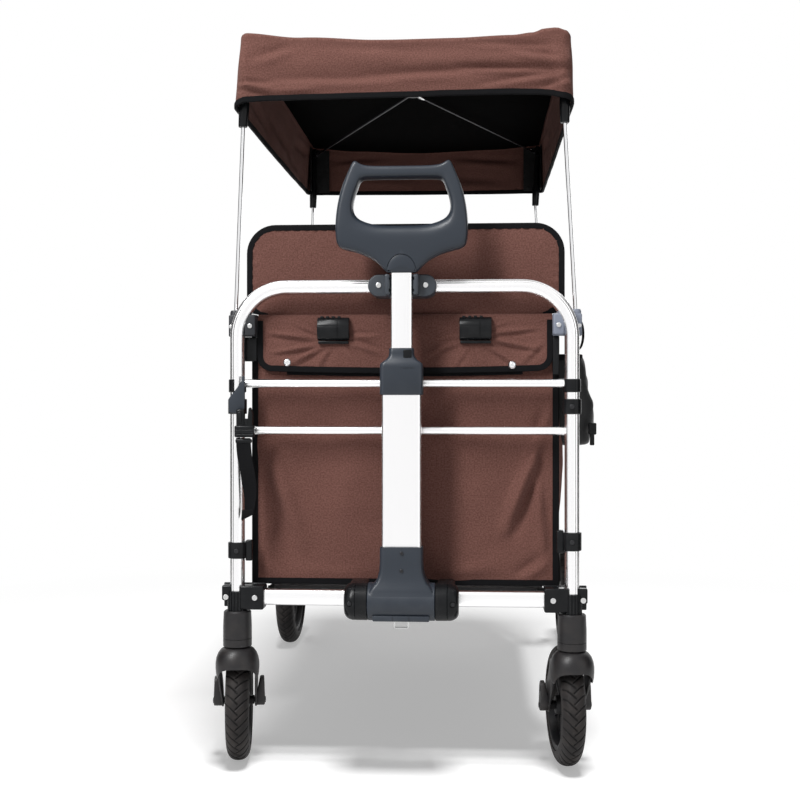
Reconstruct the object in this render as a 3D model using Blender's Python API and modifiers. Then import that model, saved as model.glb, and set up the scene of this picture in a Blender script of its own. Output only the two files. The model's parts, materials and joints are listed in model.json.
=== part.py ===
"""Hand-pulled folding wagon: two tube hoops, a fabric tub, a canopy and a telescopic pull handle.

Metres, +Z up. X runs across the wagon, the pull handle is at the -Y end and +Y is the rear.
The origin is on the ground, under the middle of the wagon's box. "left" is the -X side.
"""

import math

import bmesh
import bpy
from mathutils import Matrix, Vector

# Frame
LEG_X = 0.25  # from the middle of the wagon to either leg's centre line
FRAME_LENGTH = 0.86  # from the front legs to the rear legs
HOOP_RADIUS = 0.011
HOOP_FOOT_Z = 0.2415
HOOP_TOP_Z = 0.7238
HOOP_BEND = 0.075
TUBE_GAP = 0.0004  # between a bracket's bore and the tube in it
TOUCH_GAP = 0.0003  # between two pieces that touch
CROSS_TUBE_RADIUS = 0.0065
UPPER_CROSS_Z = 0.5794
LOWER_CROSS_Z = 0.509
BOTTOM_RAIL_Z = 0.259
BOTTOM_RAIL_HEIGHT = 0.024
BOTTOM_RAIL_DEPTH = 0.014
RIM_ROD_Z = 0.667
RIM_ROD_DEPTH = 0.0242
RIM_ROD_RADIUS = 0.0035
RIM_BRACKET_Z = (0.6504, 0.6834)
LOWER_COLLAR_Z = {"left": (0.317, 0.341), "right": (0.332, 0.359)}
LOWER_COLLAR_RADIUS = 0.0138

# Folding mechanism: the floor halves fold up, the side rails fold down, over equal lengths
PIVOT_DEPTH = 0.040  # from an end's legs to the end pivots, towards the middle
FLOOR_PIVOT_Z = 0.262
FLOOR_MIDDLE_Z = 0.252
RAIL_PIVOT_Z = 0.667
RAIL_MIDDLE_Z = 0.677
RAIL_X = 0.2215
RAIL_RADIUS = 0.0065
FLOOR_HALF_WIDTH = 0.210
FLOOR_BOTTOM_Z = 0.254
FLOOR_TOP_Z = 0.268

# Wheels
FRONT_TYRE_RADIUS = 0.090
FRONT_TYRE_INNER = 0.068
FRONT_TYRE_WIDTH = 0.0365
CASTOR_TRAIL = 0.055
CASTOR_TOP_Z = 0.1836
CASTOR_TURN = {"left": math.radians(8), "right": math.radians(6.5)}
REAR_TYRE_RADIUS = 0.125
REAR_TYRE_INNER = 0.100
REAR_TYRE_WIDTH = 0.040
REAR_WHEEL_X = 0.314
REAR_AXLE_BACK = 0.095  # behind the rear legs
WHEEL_STEPS = 28

# Pull handle
HANDLE_FORWARD = 0.040  # in front of the front legs
HANDLE_AXIS_Z = 0.2605
KNUCKLE_RADIUS = 0.0275
GRIP_THICKNESS = 0.032

# Fabric
TUB_TOP_Z = 0.684
TALL_TOP_Z = 0.8208
CANOPY_TOP_Z = 1.110
CANOPY_HEM_Z = 1.000
CANOPY_HALF_WIDTH = 0.2535
CANOPY_HEM_HALF_WIDTH = 0.2564
CANOPY_SAG = 0.014
CANOPY_THICKNESS = 0.0025
CANOPY_DEPTH = 0.022
CROSS_HUB_DEPTH = 0.290
POLE_RADIUS = 0.003
POLE_FOOT = (0.2575, 0.022)  # distance from the middle, depth behind the legs
POLE_FOOT_Z = 0.6553
POLE_TOP = (0.2425, 0.040)

# The wagon's box, from the handle's knuckle to the rear tyre, is centred on Y = 0
FRONT_Y = -(FRAME_LENGTH + REAR_AXLE_BACK + REAR_TYRE_RADIUS - HANDLE_FORWARD - KNUCKLE_RADIUS) / 2
REAR_Y = FRONT_Y + FRAME_LENGTH
MIDDLE_Y = FRONT_Y + FRAME_LENGTH / 2
ENDS = {"front": (FRONT_Y, 1), "rear": (REAR_Y, -1)}
SIDES = {"left": -1, "right": 1}
HANDLE_Y = FRONT_Y - HANDLE_FORWARD

COLOURS = {  # base colour, roughness, metallic
    "aluminium": ((0.72, 0.73, 0.75), 0.30, 1.0),
    "charcoal_plastic": ((0.045, 0.050, 0.062), 0.45, 0.0),
    "grey_plastic": ((0.20, 0.21, 0.22), 0.45, 0.0),
    "black_fabric": ((0.014, 0.013, 0.014), 0.85, 0.0),
    "brown_fabric": ((0.085, 0.040, 0.033), 0.80, 0.0),
    "tyre_rubber": ((0.060, 0.055, 0.052), 0.85, 0.0),
    "wheel_plastic": ((0.030, 0.032, 0.036), 0.50, 0.0),
    "steel": ((0.55, 0.56, 0.58), 0.35, 1.0),
}

for left_over in list(bpy.data.objects):
    bpy.data.objects.remove(left_over, do_unlink=True)

wagon = bpy.data.collections.new("hand_pulled_wagon")
cutters = bpy.data.collections.new("cutters")
bpy.context.scene.collection.children.link(wagon)
bpy.context.scene.collection.children.link(cutters)
materials = {}
bodies = {}


def material(name):
    """The named material, made the first time it is asked for."""
    if name not in materials:
        colour, roughness, metallic = COLOURS[name]
        made = bpy.data.materials.new(name)
        made.use_nodes = True
        shader = made.node_tree.nodes["Principled BSDF"]
        shader.inputs["Base Color"].default_value = (*colour, 1)
        shader.inputs["Roughness"].default_value = roughness
        shader.inputs["Metallic"].default_value = metallic
        materials[name] = made
    return materials[name]


def inside(end, depth):
    """The Y that lies `depth` from an end's legs, towards the middle of the wagon."""
    leg_y, inward = ENDS[end]
    return leg_y + inward * depth


def helper(data, matrix=None):
    """A new object for the mesh or curve, hidden until it becomes a piece."""
    obj = bpy.data.objects.new("helper", data)
    obj.hide_render = True
    obj.display_type = "WIRE"
    if matrix is not None:
        obj.matrix_world = matrix
    cutters.objects.link(obj)
    return obj


def helper_from(bm):
    bmesh.ops.recalc_face_normals(bm, faces=bm.faces)
    mesh = bpy.data.meshes.new("helper")
    bm.to_mesh(mesh)
    bm.free()
    return helper(mesh)


def box(x, y, z):
    """A box between the two values given for each axis."""
    bm = bmesh.new()
    bmesh.ops.create_cube(bm, size=1)
    bmesh.ops.scale(bm, vec=[abs(high - low) for low, high in (x, y, z)], verts=bm.verts)
    bmesh.ops.translate(bm, vec=[(low + high) / 2 for low, high in (x, y, z)], verts=bm.verts)
    return helper_from(bm)


def rod(start, end, radius, sides=16):
    """A round bar between two points."""
    start, end = Vector(start), Vector(end)
    bm = bmesh.new()
    bmesh.ops.create_cone(
        bm,
        cap_ends=True,
        segments=sides,
        radius1=radius,
        radius2=radius,
        depth=(end - start).length,
    )
    turn = (end - start).to_track_quat("Z", "Y").to_matrix().to_4x4()
    bmesh.ops.transform(bm, matrix=Matrix.Translation((start + end) / 2) @ turn, verts=bm.verts)
    return helper_from(bm)


def mesh_of(curve_object):
    """A mesh object in place of a curve object, with its caps welded."""
    bpy.context.view_layer.update()
    graph = bpy.context.evaluated_depsgraph_get()
    mesh = bpy.data.meshes.new_from_object(curve_object.evaluated_get(graph))
    bm = bmesh.new()
    bm.from_mesh(mesh)
    bmesh.ops.remove_doubles(bm, verts=bm.verts, dist=0.00001)
    bmesh.ops.recalc_face_normals(bm, faces=bm.faces)
    bm.to_mesh(mesh)
    bm.free()
    made = helper(mesh, curve_object.matrix_world)
    bpy.data.objects.remove(curve_object, do_unlink=True)
    return made


def tube(points, radius, bevel_resolution=4):
    """A round tube along the points, with 2 * bevel_resolution + 4 sides."""
    curve = bpy.data.curves.new("tube", "CURVE")
    curve.dimensions = "3D"
    curve.bevel_depth = radius
    curve.bevel_resolution = bevel_resolution
    curve.use_fill_caps = True
    spline = curve.splines.new("POLY")
    spline.points.add(len(points) - 1)
    for point, place in zip(spline.points, points):
        point.co = (*place, 1)
    return mesh_of(helper(curve))


PLANES = {  # the frame of an outline's own X and Y, with the extrusion along its Z
    "XY": Matrix(),
    "XZ": Matrix(((1, 0, 0, 0), (0, 0, -1, 0), (0, 1, 0, 0), (0, 0, 0, 1))),
    "YZ": Matrix(((0, 0, 1, 0), (1, 0, 0, 0), (0, 1, 0, 0), (0, 0, 0, 1))),
}


def plate(outlines, plane, low, high):
    """A flat outline, with any holes after it, filled between two values of the third axis."""
    curve = bpy.data.curves.new("plate", "CURVE")
    curve.dimensions = "2D"
    curve.fill_mode = "BOTH"
    curve.extrude = abs(high - low) / 2
    for outline in outlines:
        spline = curve.splines.new("POLY")
        spline.points.add(len(outline) - 1)
        spline.use_cyclic_u = True
        for point, place in zip(spline.points, outline):
            point.co = (*place, 0, 1)
    across = {"XY": (0, 0, 1), "XZ": (0, 1, 0), "YZ": (1, 0, 0)}[plane]
    middle = Vector(across) * (low + high) / 2
    return mesh_of(helper(curve, Matrix.Translation(middle) @ PLANES[plane]))


def turned(profile, steps, centre=(0, 0, 0)):
    """A ring turned about an axis along X from (radius, distance along the axis) points.

    The first half step of turn puts a flat facet, and not an edge, at the bottom.
    """
    mesh = bpy.data.meshes.new("profile")
    points = [(radius, 0, along) for radius, along in profile]
    edges = [(i, (i + 1) % len(points)) for i in range(len(points))]
    mesh.from_pydata(points, edges, [])
    turn = Matrix.Rotation(math.pi / 2, 4, "Y") @ Matrix.Rotation(math.pi / steps, 4, "Z")
    obj = helper(mesh, Matrix.Translation(centre) @ turn)
    screw = obj.modifiers.new("turn", "SCREW")
    screw.steps = steps
    screw.render_steps = steps
    screw.use_merge_vertices = True
    screw.merge_threshold = 0.0001
    return obj


def arc(centre, radius, start, end, steps):
    """Points on a circle between two angles in degrees, both ends included."""
    angles = [math.radians(start + (end - start) * i / steps) for i in range(steps + 1)]
    return [(centre[0] + radius * math.cos(a), centre[1] + radius * math.sin(a)) for a in angles]


def rounded_rectangle(centre, width, height, radius, steps=3):
    x, y = width / 2 - radius, height / 2 - radius
    points = []
    for start, (sx, sy) in zip((0, 90, 180, 270), ((1, 1), (-1, 1), (-1, -1), (1, -1))):
        points += arc((centre[0] + sx * x, centre[1] + sy * y), radius, start, start + 90, steps)
    return points


def boolean(obj, others, operation):
    for other in others:
        modifier = obj.modifiers.new(operation.lower(), "BOOLEAN")
        modifier.operation = operation
        modifier.object = other
    return obj


def join(obj, *others):
    return boolean(obj, others, "UNION")


def cut(obj, *others):
    return boolean(obj, others, "DIFFERENCE")


def body(name, joint_at=(0, 0, 0), parent=None, turn=0, local=False):
    """An empty on a body's joint, placed in the world or in its parent's own space."""
    empty = bpy.data.objects.new(name + "_joint", None)
    empty.empty_display_size = 0.03
    wagon.objects.link(empty)
    world = Matrix.Translation(joint_at) @ Matrix.Rotation(turn, 4, "Z")
    if parent:
        empty.parent, carrier = bodies[parent]
        if local:
            world = carrier @ world
        empty.matrix_basis = carrier.inverted() @ world
    bodies[name] = (empty, world)


def carry(obj, name, local):
    """Parents the object and its operands to a body, from world or from the body's own places."""
    if obj.parent:
        return
    empty, world = bodies[name]
    obj.parent = empty
    obj.matrix_parent_inverse = Matrix() if local else world.inverted()
    for modifier in obj.modifiers:
        if modifier.type == "BOOLEAN":
            carry(modifier.object, name, local)


def piece(obj, name, finish, on, local=False):
    """Makes a helper a named, visible piece of the wagon."""
    obj.name = name
    obj.data.name = name
    obj.data.materials.clear()
    obj.data.materials.append(material(finish))
    obj.hide_render = False
    obj.display_type = "TEXTURED"
    cutters.objects.unlink(obj)
    wagon.objects.link(obj)
    carry(obj, name=on, local=local)
    if obj.type == "MESH" and obj.data.polygons:
        obj.data.shade_smooth()
        obj.data.set_sharp_from_angle(angle=math.radians(35))
    return obj


def hoop_points(end):
    """The centre line of an end's hoop, from the left foot over the top to the right foot."""
    y = inside(end, 0)
    bend_x, bend_z = LEG_X - HOOP_BEND, HOOP_TOP_Z - HOOP_BEND
    right = [(LEG_X, HOOP_FOOT_Z)] + arc((bend_x, bend_z), HOOP_BEND, 0, 90, 6)
    outline = [(-x, z) for x, z in right] + [(x, z) for x, z in reversed(right)]
    return [(x, y, z) for x, z in outline]


def hoop_space(end):
    """What an end's hoop needs inside the brackets round it."""
    points = hoop_points(end)
    for foot in (0, -1):
        points[foot] = (points[foot][0], points[foot][1], HOOP_FOOT_Z - TOUCH_GAP)
    return tube(points, HOOP_RADIUS + TUBE_GAP)


def make_hoop_frame(end, on):
    """A hoop with its cross tube, bottom rail and rim rod."""
    y = inside(end, 0)
    reach = LEG_X - HOOP_RADIUS - TOUCH_GAP
    rail_reach, rod_reach = 0.236, 0.226
    piece(tube(hoop_points(end), HOOP_RADIUS), end + "_hoop", "aluminium", on)
    cross = rod((-reach, y, UPPER_CROSS_Z), (reach, y, UPPER_CROSS_Z), CROSS_TUBE_RADIUS, 12)
    piece(cross, end + "_upper_cross_tube", "aluminium", on)
    oval = rounded_rectangle((y, BOTTOM_RAIL_Z), BOTTOM_RAIL_DEPTH, BOTTOM_RAIL_HEIGHT, 0.005)
    rail = plate([oval], "YZ", -rail_reach, rail_reach)
    piece(rail, end + "_bottom_rail", "aluminium", on)
    rod_y = inside(end, RIM_ROD_DEPTH)
    rim = rod((-rod_reach, rod_y, RIM_ROD_Z), (rod_reach, rod_y, RIM_ROD_Z), RIM_ROD_RADIUS, 10)
    piece(rim, end + "_rim_rod", "steel", on)


def rail_pocket(end, side):
    """The room for the bottom rail's end in a corner bracket."""
    half_depth = BOTTOM_RAIL_DEPTH / 2 + TOUCH_GAP
    half_height = BOTTOM_RAIL_HEIGHT / 2 + TOUCH_GAP
    return box(
        (side * 0.200, side * 0.2365),
        (inside(end, -half_depth), inside(end, half_depth)),
        (BOTTOM_RAIL_Z - half_height, BOTTOM_RAIL_Z + half_height),
    )


def corner_block(end, side, sleeve_bottom):
    """What a front and a rear corner share: leg sleeve, rail block and floor pivot lug."""
    sleeve_radius, sleeve_top = 0.014, 0.2675
    block_inner, block_outer, block_half, block_z = 0.2085, 0.245, 0.0135, (0.2415, 0.2765)
    lug_inner, lug_outer, lug_start, lug_end, lug_z = 0.2125, 0.2265, 0.010, 0.047, (0.252, 0.272)
    pin_start, pin_end, pin_radius = 0.220, 0.1985, 0.004
    leg = (side * LEG_X, inside(end, 0))
    sleeve = rod((*leg, sleeve_bottom), (*leg, sleeve_top), sleeve_radius)
    block_y = (inside(end, -block_half), inside(end, block_half))
    block = box((side * block_inner, side * block_outer), block_y, block_z)
    lug = box((side * lug_inner, side * lug_outer), (inside(end, lug_start), inside(end, lug_end)), lug_z)
    pin_y = inside(end, PIVOT_DEPTH)
    pin_ends = [(side * x, pin_y, FLOOR_PIVOT_Z) for x in (pin_start, pin_end)]
    return join(sleeve, block, lug, rod(*pin_ends, pin_radius, 12))


def make_front_corner(label, side, space):
    """The moulding at the foot of a front leg, which also houses the castor's stem."""
    sleeve_bottom, housing_top, housing_radius = 0.2365, 0.2372, 0.0215
    ear_inner, ear_outer, ear_half, ear_z = 0.255, 0.2725, 0.008, (0.2545, 0.276)
    bore_bottom, bore_top, bore_radius = 0.180, 0.225, 0.0065
    corner = corner_block("front", side, sleeve_bottom)
    leg = (side * LEG_X, FRONT_Y)
    housing = rod((*leg, CASTOR_TOP_Z + 0.0008), (*leg, housing_top), housing_radius, 20)
    ear = box((side * ear_inner, side * ear_outer), (FRONT_Y - ear_half, FRONT_Y + ear_half), ear_z)
    stem_bore = rod((*leg, bore_bottom), (*leg, bore_top), bore_radius, 16)
    cut(join(corner, housing, ear), space, rail_pocket("front", side), stem_bore)
    piece(corner, "front_corner_bracket_" + label, "charcoal_plastic", "front_frame")


def make_rear_corner(label, side, space):
    """The moulding at the foot of a rear leg, with the arm and stub axle of the rear wheel."""
    sleeve_bottom, arm_top, arm_inner, arm_outer = 0.232, 0.250, 0.266, 0.284
    link_inner, link_outer, link_half, link_z = 0.255, 0.268, 0.010, (0.238, 0.2635)
    axle_start, axle_end, axle_radius = 0.275, 0.3375, 0.005
    corner = corner_block("rear", side, sleeve_bottom)
    axle_y, axle_z = inside("rear", -REAR_AXLE_BACK), REAR_TYRE_RADIUS
    link = box((side * link_inner, side * link_outer), (REAR_Y - link_half, REAR_Y + link_half), link_z)
    slope = math.degrees(math.atan2(arm_top - axle_z, REAR_AXLE_BACK))
    outline = arc((REAR_Y, arm_top), 0.013, 90 - slope, 270 - slope, 6)
    outline += arc((axle_y, axle_z), 0.017, 270 - slope, 450 - slope, 8)
    arm = plate([outline], "YZ", side * arm_inner, side * arm_outer)
    axle = rod((side * axle_start, axle_y, axle_z), (side * axle_end, axle_y, axle_z), axle_radius, 16)
    cut(join(corner, link, arm, axle), space, rail_pocket("rear", side))
    piece(corner, "rear_wheel_bracket_" + label, "charcoal_plastic", "rear_frame")


def make_leg_joint(label, side, space):
    """The moulded band and collar where the upper cross tube meets a front leg."""
    band_z, band_radius, collar_z, collar_radius = (0.566, 0.5855), 0.013, (0.5336, 0.556), 0.014
    strap_half, strap_y, strap_z = 0.004, (FRONT_Y + 0.0105, FRONT_Y + 0.0135), (0.550, 0.572)
    notch_x, notch_radius = (side * 0.230, side * 0.245), 0.0070
    leg = (side * LEG_X, FRONT_Y)
    joint = rod((*leg, band_z[0]), (*leg, band_z[1]), band_radius)
    collar = rod((*leg, collar_z[0]), (*leg, collar_z[1]), collar_radius)
    strap = box((leg[0] - strap_half, leg[0] + strap_half), strap_y, strap_z)
    notch = rod(*[(x, FRONT_Y, UPPER_CROSS_Z) for x in notch_x], notch_radius, 16)
    cut(join(joint, collar, strap), space, notch)
    if label == "left":  # this band is open in front, where the leg shows
        front = (FRONT_Y - 0.015, FRONT_Y)
        cut(joint, box((leg[0] - 0.004, leg[0] + 0.015), front, (band_z[0] - 0.001, band_z[1] + 0.001)))
    piece(joint, "front_leg_joint_" + label, "charcoal_plastic", "front_frame")
    low, high = LOWER_COLLAR_Z[label]
    lower = cut(rod((*leg, low), (*leg, high), LOWER_COLLAR_RADIUS), space)
    piece(lower, "front_lower_collar_" + label, "charcoal_plastic", "front_frame")


def make_rim_bracket(end, label, side, space, on):
    """The bracket behind a leg that holds the rim rod, the side rail's pin and the canopy pole."""
    inner, outer, front_outer = 0.222, 0.266, 0.2385
    lug_inner, lug_outer, lug_z = 0.2215, 0.2292, (0.659, 0.675)
    pin_start, pin_end, pin_radius = 0.225, 0.2150, 0.0035
    holder_top, holder_radius, bore_gap = 0.6905, 0.008, 0.0004
    low, high = RIM_BRACKET_Z
    bracket = box((side * inner, side * outer), (inside(end, 0.0115), inside(end, 0.021)), (low, high))
    front = box((side * inner, side * front_outer), (inside(end, -0.006), inside(end, 0.013)), (low, high))
    lug = box((side * lug_inner, side * lug_outer), (inside(end, 0.018), inside(end, 0.046)), lug_z)
    pin_y = inside(end, PIVOT_DEPTH)
    pin = rod((side * pin_start, pin_y, RAIL_PIVOT_Z), (side * pin_end, pin_y, RAIL_PIVOT_Z), pin_radius, 12)
    foot = (side * POLE_FOOT[0], inside(end, POLE_FOOT[1]))
    holder = rod((*foot, low), (*foot, holder_top), holder_radius, 16)
    rod_y = inside(end, RIM_ROD_DEPTH)
    rod_ends = [(side * x, rod_y, RIM_ROD_Z) for x in (0.200, 0.2265)]
    rod_bore = rod(*rod_ends, RIM_ROD_RADIUS + bore_gap, 12)
    pole_bore = rod((*foot, POLE_FOOT_Z - TOUCH_GAP), (*foot, 0.700), POLE_RADIUS + bore_gap, 12)
    cut(join(bracket, front, lug, pin, holder), space, rod_bore, pole_bore)
    piece(bracket, f"{end}_rim_bracket_{label}", "grey_plastic", on)


def make_canopy_pole(end, label, side, on):
    """A thin canopy pole, which leans inwards, with the roof frame's socket on its top."""
    socket_bottom, socket_top, socket_radius = 0.974, 1.1035, 0.007
    foot = (side * POLE_FOOT[0], inside(end, POLE_FOOT[1]))
    top = (side * POLE_TOP[0], inside(end, POLE_TOP[1]))
    pole = tube([(*foot, POLE_FOOT_Z), (*foot, 0.690), (*top, 0.970), (*top, 1.000)], POLE_RADIUS, 2)
    join(pole, rod((*top, socket_bottom), (*top, socket_top), socket_radius, 12))
    piece(pole, f"canopy_pole_{end}_{label}", "steel", on)


def make_handle_clip(space):
    """The clip on the front hoop's top bar, with a slot that grips the handle's inner tube."""
    half, low, high = 0.051, 0.7065, 0.7388
    front, back = FRONT_Y - 0.048, FRONT_Y + 0.015
    outline = rounded_rectangle((0, (low + high) / 2), 2 * half, high - low, 0.012)
    clip = plate([outline], "XZ", front, back)
    slot = box((-0.0163, 0.0163), (FRONT_Y - 0.060, FRONT_Y - 0.0318), (0.700, 0.750))
    piece(cut(clip, space, slot), "handle_clip", "charcoal_plastic", "front_frame")


def make_pivot_bracket():
    """Two knuckles clamped on the bottom rail, and the pin between them."""
    inner, outer = 0.0495, 0.0837
    back = FRONT_Y + 0.0125
    low, high = HANDLE_AXIS_Z - KNUCKLE_RADIUS, HANDLE_AXIS_Z + KNUCKLE_RADIUS
    outline = arc((HANDLE_Y, HANDLE_AXIS_Z), KNUCKLE_RADIUS, 90, 270, 12)
    outline += [(back, low), (back, high)]
    bracket = plate([outline], "YZ", -outer, -inner)
    pin = rod((-0.070, HANDLE_Y, HANDLE_AXIS_Z), (0.070, HANDLE_Y, HANDLE_AXIS_Z), 0.005, 16)
    join(bracket, pin, plate([outline], "YZ", inner, outer))
    half_depth = BOTTOM_RAIL_DEPTH / 2 + TOUCH_GAP
    half_height = BOTTOM_RAIL_HEIGHT / 2 + TOUCH_GAP
    passage = box(
        (-0.1, 0.1),
        (FRONT_Y - half_depth, FRONT_Y + half_depth),
        (BOTTOM_RAIL_Z - half_height, BOTTOM_RAIL_Z + half_height),
    )
    piece(cut(bracket, passage), "handle_pivot_bracket", "charcoal_plastic", "front_frame")


def make_handle():
    """The pull handle, from the pivoting base up to the grip."""
    base_top, tube_bottom, tube_top = 0.3405, 0.295, 0.600
    base = rod((-0.049, HANDLE_Y, HANDLE_AXIS_Z), (0.049, HANDLE_Y, HANDLE_AXIS_Z), KNUCKLE_RADIUS, 24)
    boot = plate([rounded_rectangle((0, HANDLE_Y), 0.062, 0.036, 0.008)], "XY", 0.270, base_top)
    pocket = box(
        (-0.0293, 0.0293), (HANDLE_Y - 0.0133, HANDLE_Y + 0.0133), (tube_bottom - TOUCH_GAP, 0.36)
    )
    bore = rod((-0.06, HANDLE_Y, HANDLE_AXIS_Z), (0.06, HANDLE_Y, HANDLE_AXIS_Z), 0.0054, 16)
    piece(cut(join(base, boot), pocket, bore), "handle_base", "charcoal_plastic", "handle")

    outer = rounded_rectangle((0, HANDLE_Y), 0.058, 0.026, 0.006)
    hollow = rounded_rectangle((0, HANDLE_Y), 0.053, 0.021, 0.004)
    shaft = plate([outer, hollow], "XY", tube_bottom, tube_top)
    piece(shaft, "handle_outer_tube", "aluminium", "handle")

    collar_bottom, collar_top, neck_top = 0.5618, 0.6098, 0.630
    collar = plate(
        [rounded_rectangle((0, HANDLE_Y), 0.0626, 0.032, 0.006)], "XY", collar_bottom, collar_top
    )
    neck = plate([rounded_rectangle((0, HANDLE_Y), 0.036, 0.021, 0.004)], "XY", 0.605, neck_top)
    socket = box(
        (-0.0293, 0.0293), (HANDLE_Y - 0.0133, HANDLE_Y + 0.0133), (0.55, tube_top + TOUCH_GAP)
    )
    guide = box((-0.01615, 0.01615), (HANDLE_Y - 0.00815, HANDLE_Y + 0.00815), (0.59, 0.64))
    cut(join(collar, neck), socket, guide)
    piece(collar, "handle_lock_collar", "charcoal_plastic", "handle")

    inner = rounded_rectangle((0, HANDLE_Y), 0.0315, 0.0155, 0.004)
    bore = rounded_rectangle((0, HANDLE_Y), 0.0285, 0.0125, 0.003)
    shaft = plate([inner, bore], "XY", 0.385, 0.745)
    piece(shaft, "handle_inner_tube", "aluminium", "handle_slide")


def mirrored(half):
    """A closed outline from its right half, listed from the top middle to the bottom middle."""
    return half + [(-x, z) for x, z in reversed(half) if x > 0]


def make_grip():
    """The loop grip, with its release button on the front of the boss."""
    outer = mirrored(
        [(0.055, 0.8955), (0.0687, 0.9030), (0.0815, 0.8806), (0.0890, 0.8602), (0.0936, 0.8413)]
        + [(0.0962, 0.8209), (0.0966, 0.8020), (0.0912, 0.7775), (0.0710, 0.7724)]
        + [(0.0512, 0.7648), (0.0363, 0.7558), (0.0265, 0.7455), (0.0200, 0.7394)]
    )
    hole = mirrored(
        [(0.0520, 0.8771), (0.0604, 0.8747), (0.0680, 0.8529), (0.0708, 0.8363)]
        + [(0.0678, 0.8252), (0.0540, 0.8151), (0.0364, 0.8098), (0.0150, 0.8092)]
    )
    front, back = HANDLE_Y - GRIP_THICKNESS / 2, HANDLE_Y + GRIP_THICKNESS / 2
    grip = plate([outer, hole], "XZ", front, back)
    socket = box((-0.01605, 0.01605), (HANDLE_Y - 0.00805, HANDLE_Y + 0.00805), (0.73, 0.7455))
    button_bottom, button_half, button_height, gap = 0.7420, 0.0205, 0.0235, 0.0004
    recess = dome(button_half + gap, button_height + gap, button_bottom - gap)
    button_front, button_back, recess_back = front - 0.0025, front + 0.0040, front + 0.0065
    recess = plate([recess], "XZ", front - 0.01, recess_back)
    piece(cut(grip, socket, recess), "handle_grip", "charcoal_plastic", "handle_slide")
    button = plate([dome(button_half, button_height, button_bottom)], "XZ", button_front, button_back)
    piece(button, "release_button", "grey_plastic", "release_button")


def dome(half_width, height, bottom):
    """Half an ellipse on a flat base, as (x, z) points."""
    return [(half_width * x, bottom + height * z) for x, z in arc((0, 0), 1, 0, 180, 12)]


def make_castor(label, side):
    """A castor, built about its stem at X = Y = 0 and turned with its empty."""
    joint = "castor_" + label
    body(joint, (side * LEG_X, FRONT_Y, 0), "front_frame", CASTOR_TURN[label])
    axle_z = FRONT_TYRE_RADIUS
    stem_radius, stem_top = 0.006, 0.222
    plate_inner, plate_outer = 0.024, 0.0288
    crown_low = 0.143
    crown = box((-0.0325, 0.0325), (-0.030, 0.031), (crown_low, CASTOR_TOP_Z))
    bevel = crown.modifiers.new("rounding", "BEVEL")
    bevel.width = 0.012
    bevel.segments = 2
    bevel.limit_method = "NONE"
    stem = rod((0, 0, 0.175), (0, 0, stem_top), stem_radius, 12)
    leg = [(-0.026, 0.176), (-0.026, 0.150), (0.036, 0.086)]
    leg += arc((CASTOR_TRAIL, axle_z), 0.017, 200, 380, 6) + [(0.030, 0.176)]
    room = rod((-0.0235, CASTOR_TRAIL, axle_z), (0.0235, CASTOR_TRAIL, axle_z), 0.096, 24)
    axle_hole = rod((-0.06, CASTOR_TRAIL, axle_z), (0.06, CASTOR_TRAIL, axle_z), 0.0043, 12)
    parts = [stem]
    for way in (-1, 1):
        parts.append(plate([leg], "YZ", way * plate_inner, way * plate_outer))
        pad = arc((CASTOR_TRAIL, axle_z + 0.0008), 0.011, 180, 360, 6)
        pad += arc((CASTOR_TRAIL, 0.1164), 0.011, 0, 180, 6)
        parts.append(plate([pad], "YZ", way * (plate_outer - 0.001), way * 0.0396))
    fork = cut(join(crown, *parts), room, axle_hole)
    piece(fork, "castor_fork_" + label, "charcoal_plastic", joint, local=True)

    reach, head = 0.0399, 0.0425
    shank = head - 0.0005
    axle = rod((-shank, CASTOR_TRAIL, axle_z), (shank, CASTOR_TRAIL, axle_z), 0.004, 12)
    for way in (-1, 1):
        ends = [(way * x, CASTOR_TRAIL, axle_z) for x in (reach, head)]
        join(axle, rod(*ends, 0.007, 12))
    piece(axle, "castor_axle_" + label, "steel", joint, local=True)

    wheel_joint = "front_wheel_" + label
    body(wheel_joint, (0, CASTOR_TRAIL, axle_z), joint, local=True)
    wheel = wheel_shape(0.0677, 0.060, 0.017, 0.014, 0.022, 0.0044, 0.004)
    spokes = [(0.042, 0.0150)] * 6
    pierce(wheel, spokes)
    piece(wheel, "front_wheel_" + label, "wheel_plastic", wheel_joint, local=True)
    tyre = tyre_shape(FRONT_TYRE_RADIUS, FRONT_TYRE_INNER, FRONT_TYRE_WIDTH)
    piece(tyre, "front_tyre_" + label, "tyre_rubber", wheel_joint, local=True)


def wheel_shape(outer, rim_inner, rim_half, hub_radius, hub_half, bore, web_half):
    """A wheel turned about X at the origin: hub, thin web and rim."""
    profile = [(bore, -hub_half), (bore, hub_half), (hub_radius, hub_half)]
    profile += [(hub_radius + 0.002, web_half), (rim_inner - 0.002, web_half), (rim_inner, rim_half)]
    profile += [(outer, rim_half), (outer, -rim_half), (rim_inner, -rim_half)]
    profile += [(rim_inner - 0.002, -web_half), (hub_radius + 0.002, -web_half), (hub_radius, -hub_half)]
    return turned(profile, WHEEL_STEPS)


def pierce(wheel, holes):
    """Cuts round windows through a wheel's web, spread evenly round it."""
    for index, (distance, radius) in enumerate(holes):
        angle = math.tau * index / len(holes)
        y, z = distance * math.cos(angle), distance * math.sin(angle)
        cut(wheel, rod((-0.05, y, z), (0.05, y, z), radius, 10))


def tyre_shape(radius, inner, width):
    """A tyre turned about X at the origin, its flat facets at the stated radius."""
    flat = 1 / math.cos(math.pi / WHEEL_STEPS)
    half, shoulder = width / 2, 0.35 * (radius - inner)
    profile = [(inner, -half + 0.002), (inner, half - 0.002), (inner + shoulder, half)]
    profile += [((radius - shoulder) * flat, half), (radius * flat, half - 1.2 * shoulder)]
    profile += [(radius * flat, -half + 1.2 * shoulder), ((radius - shoulder) * flat, -half)]
    profile += [(inner + shoulder, -half)]
    return turned(profile, WHEEL_STEPS)


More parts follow.
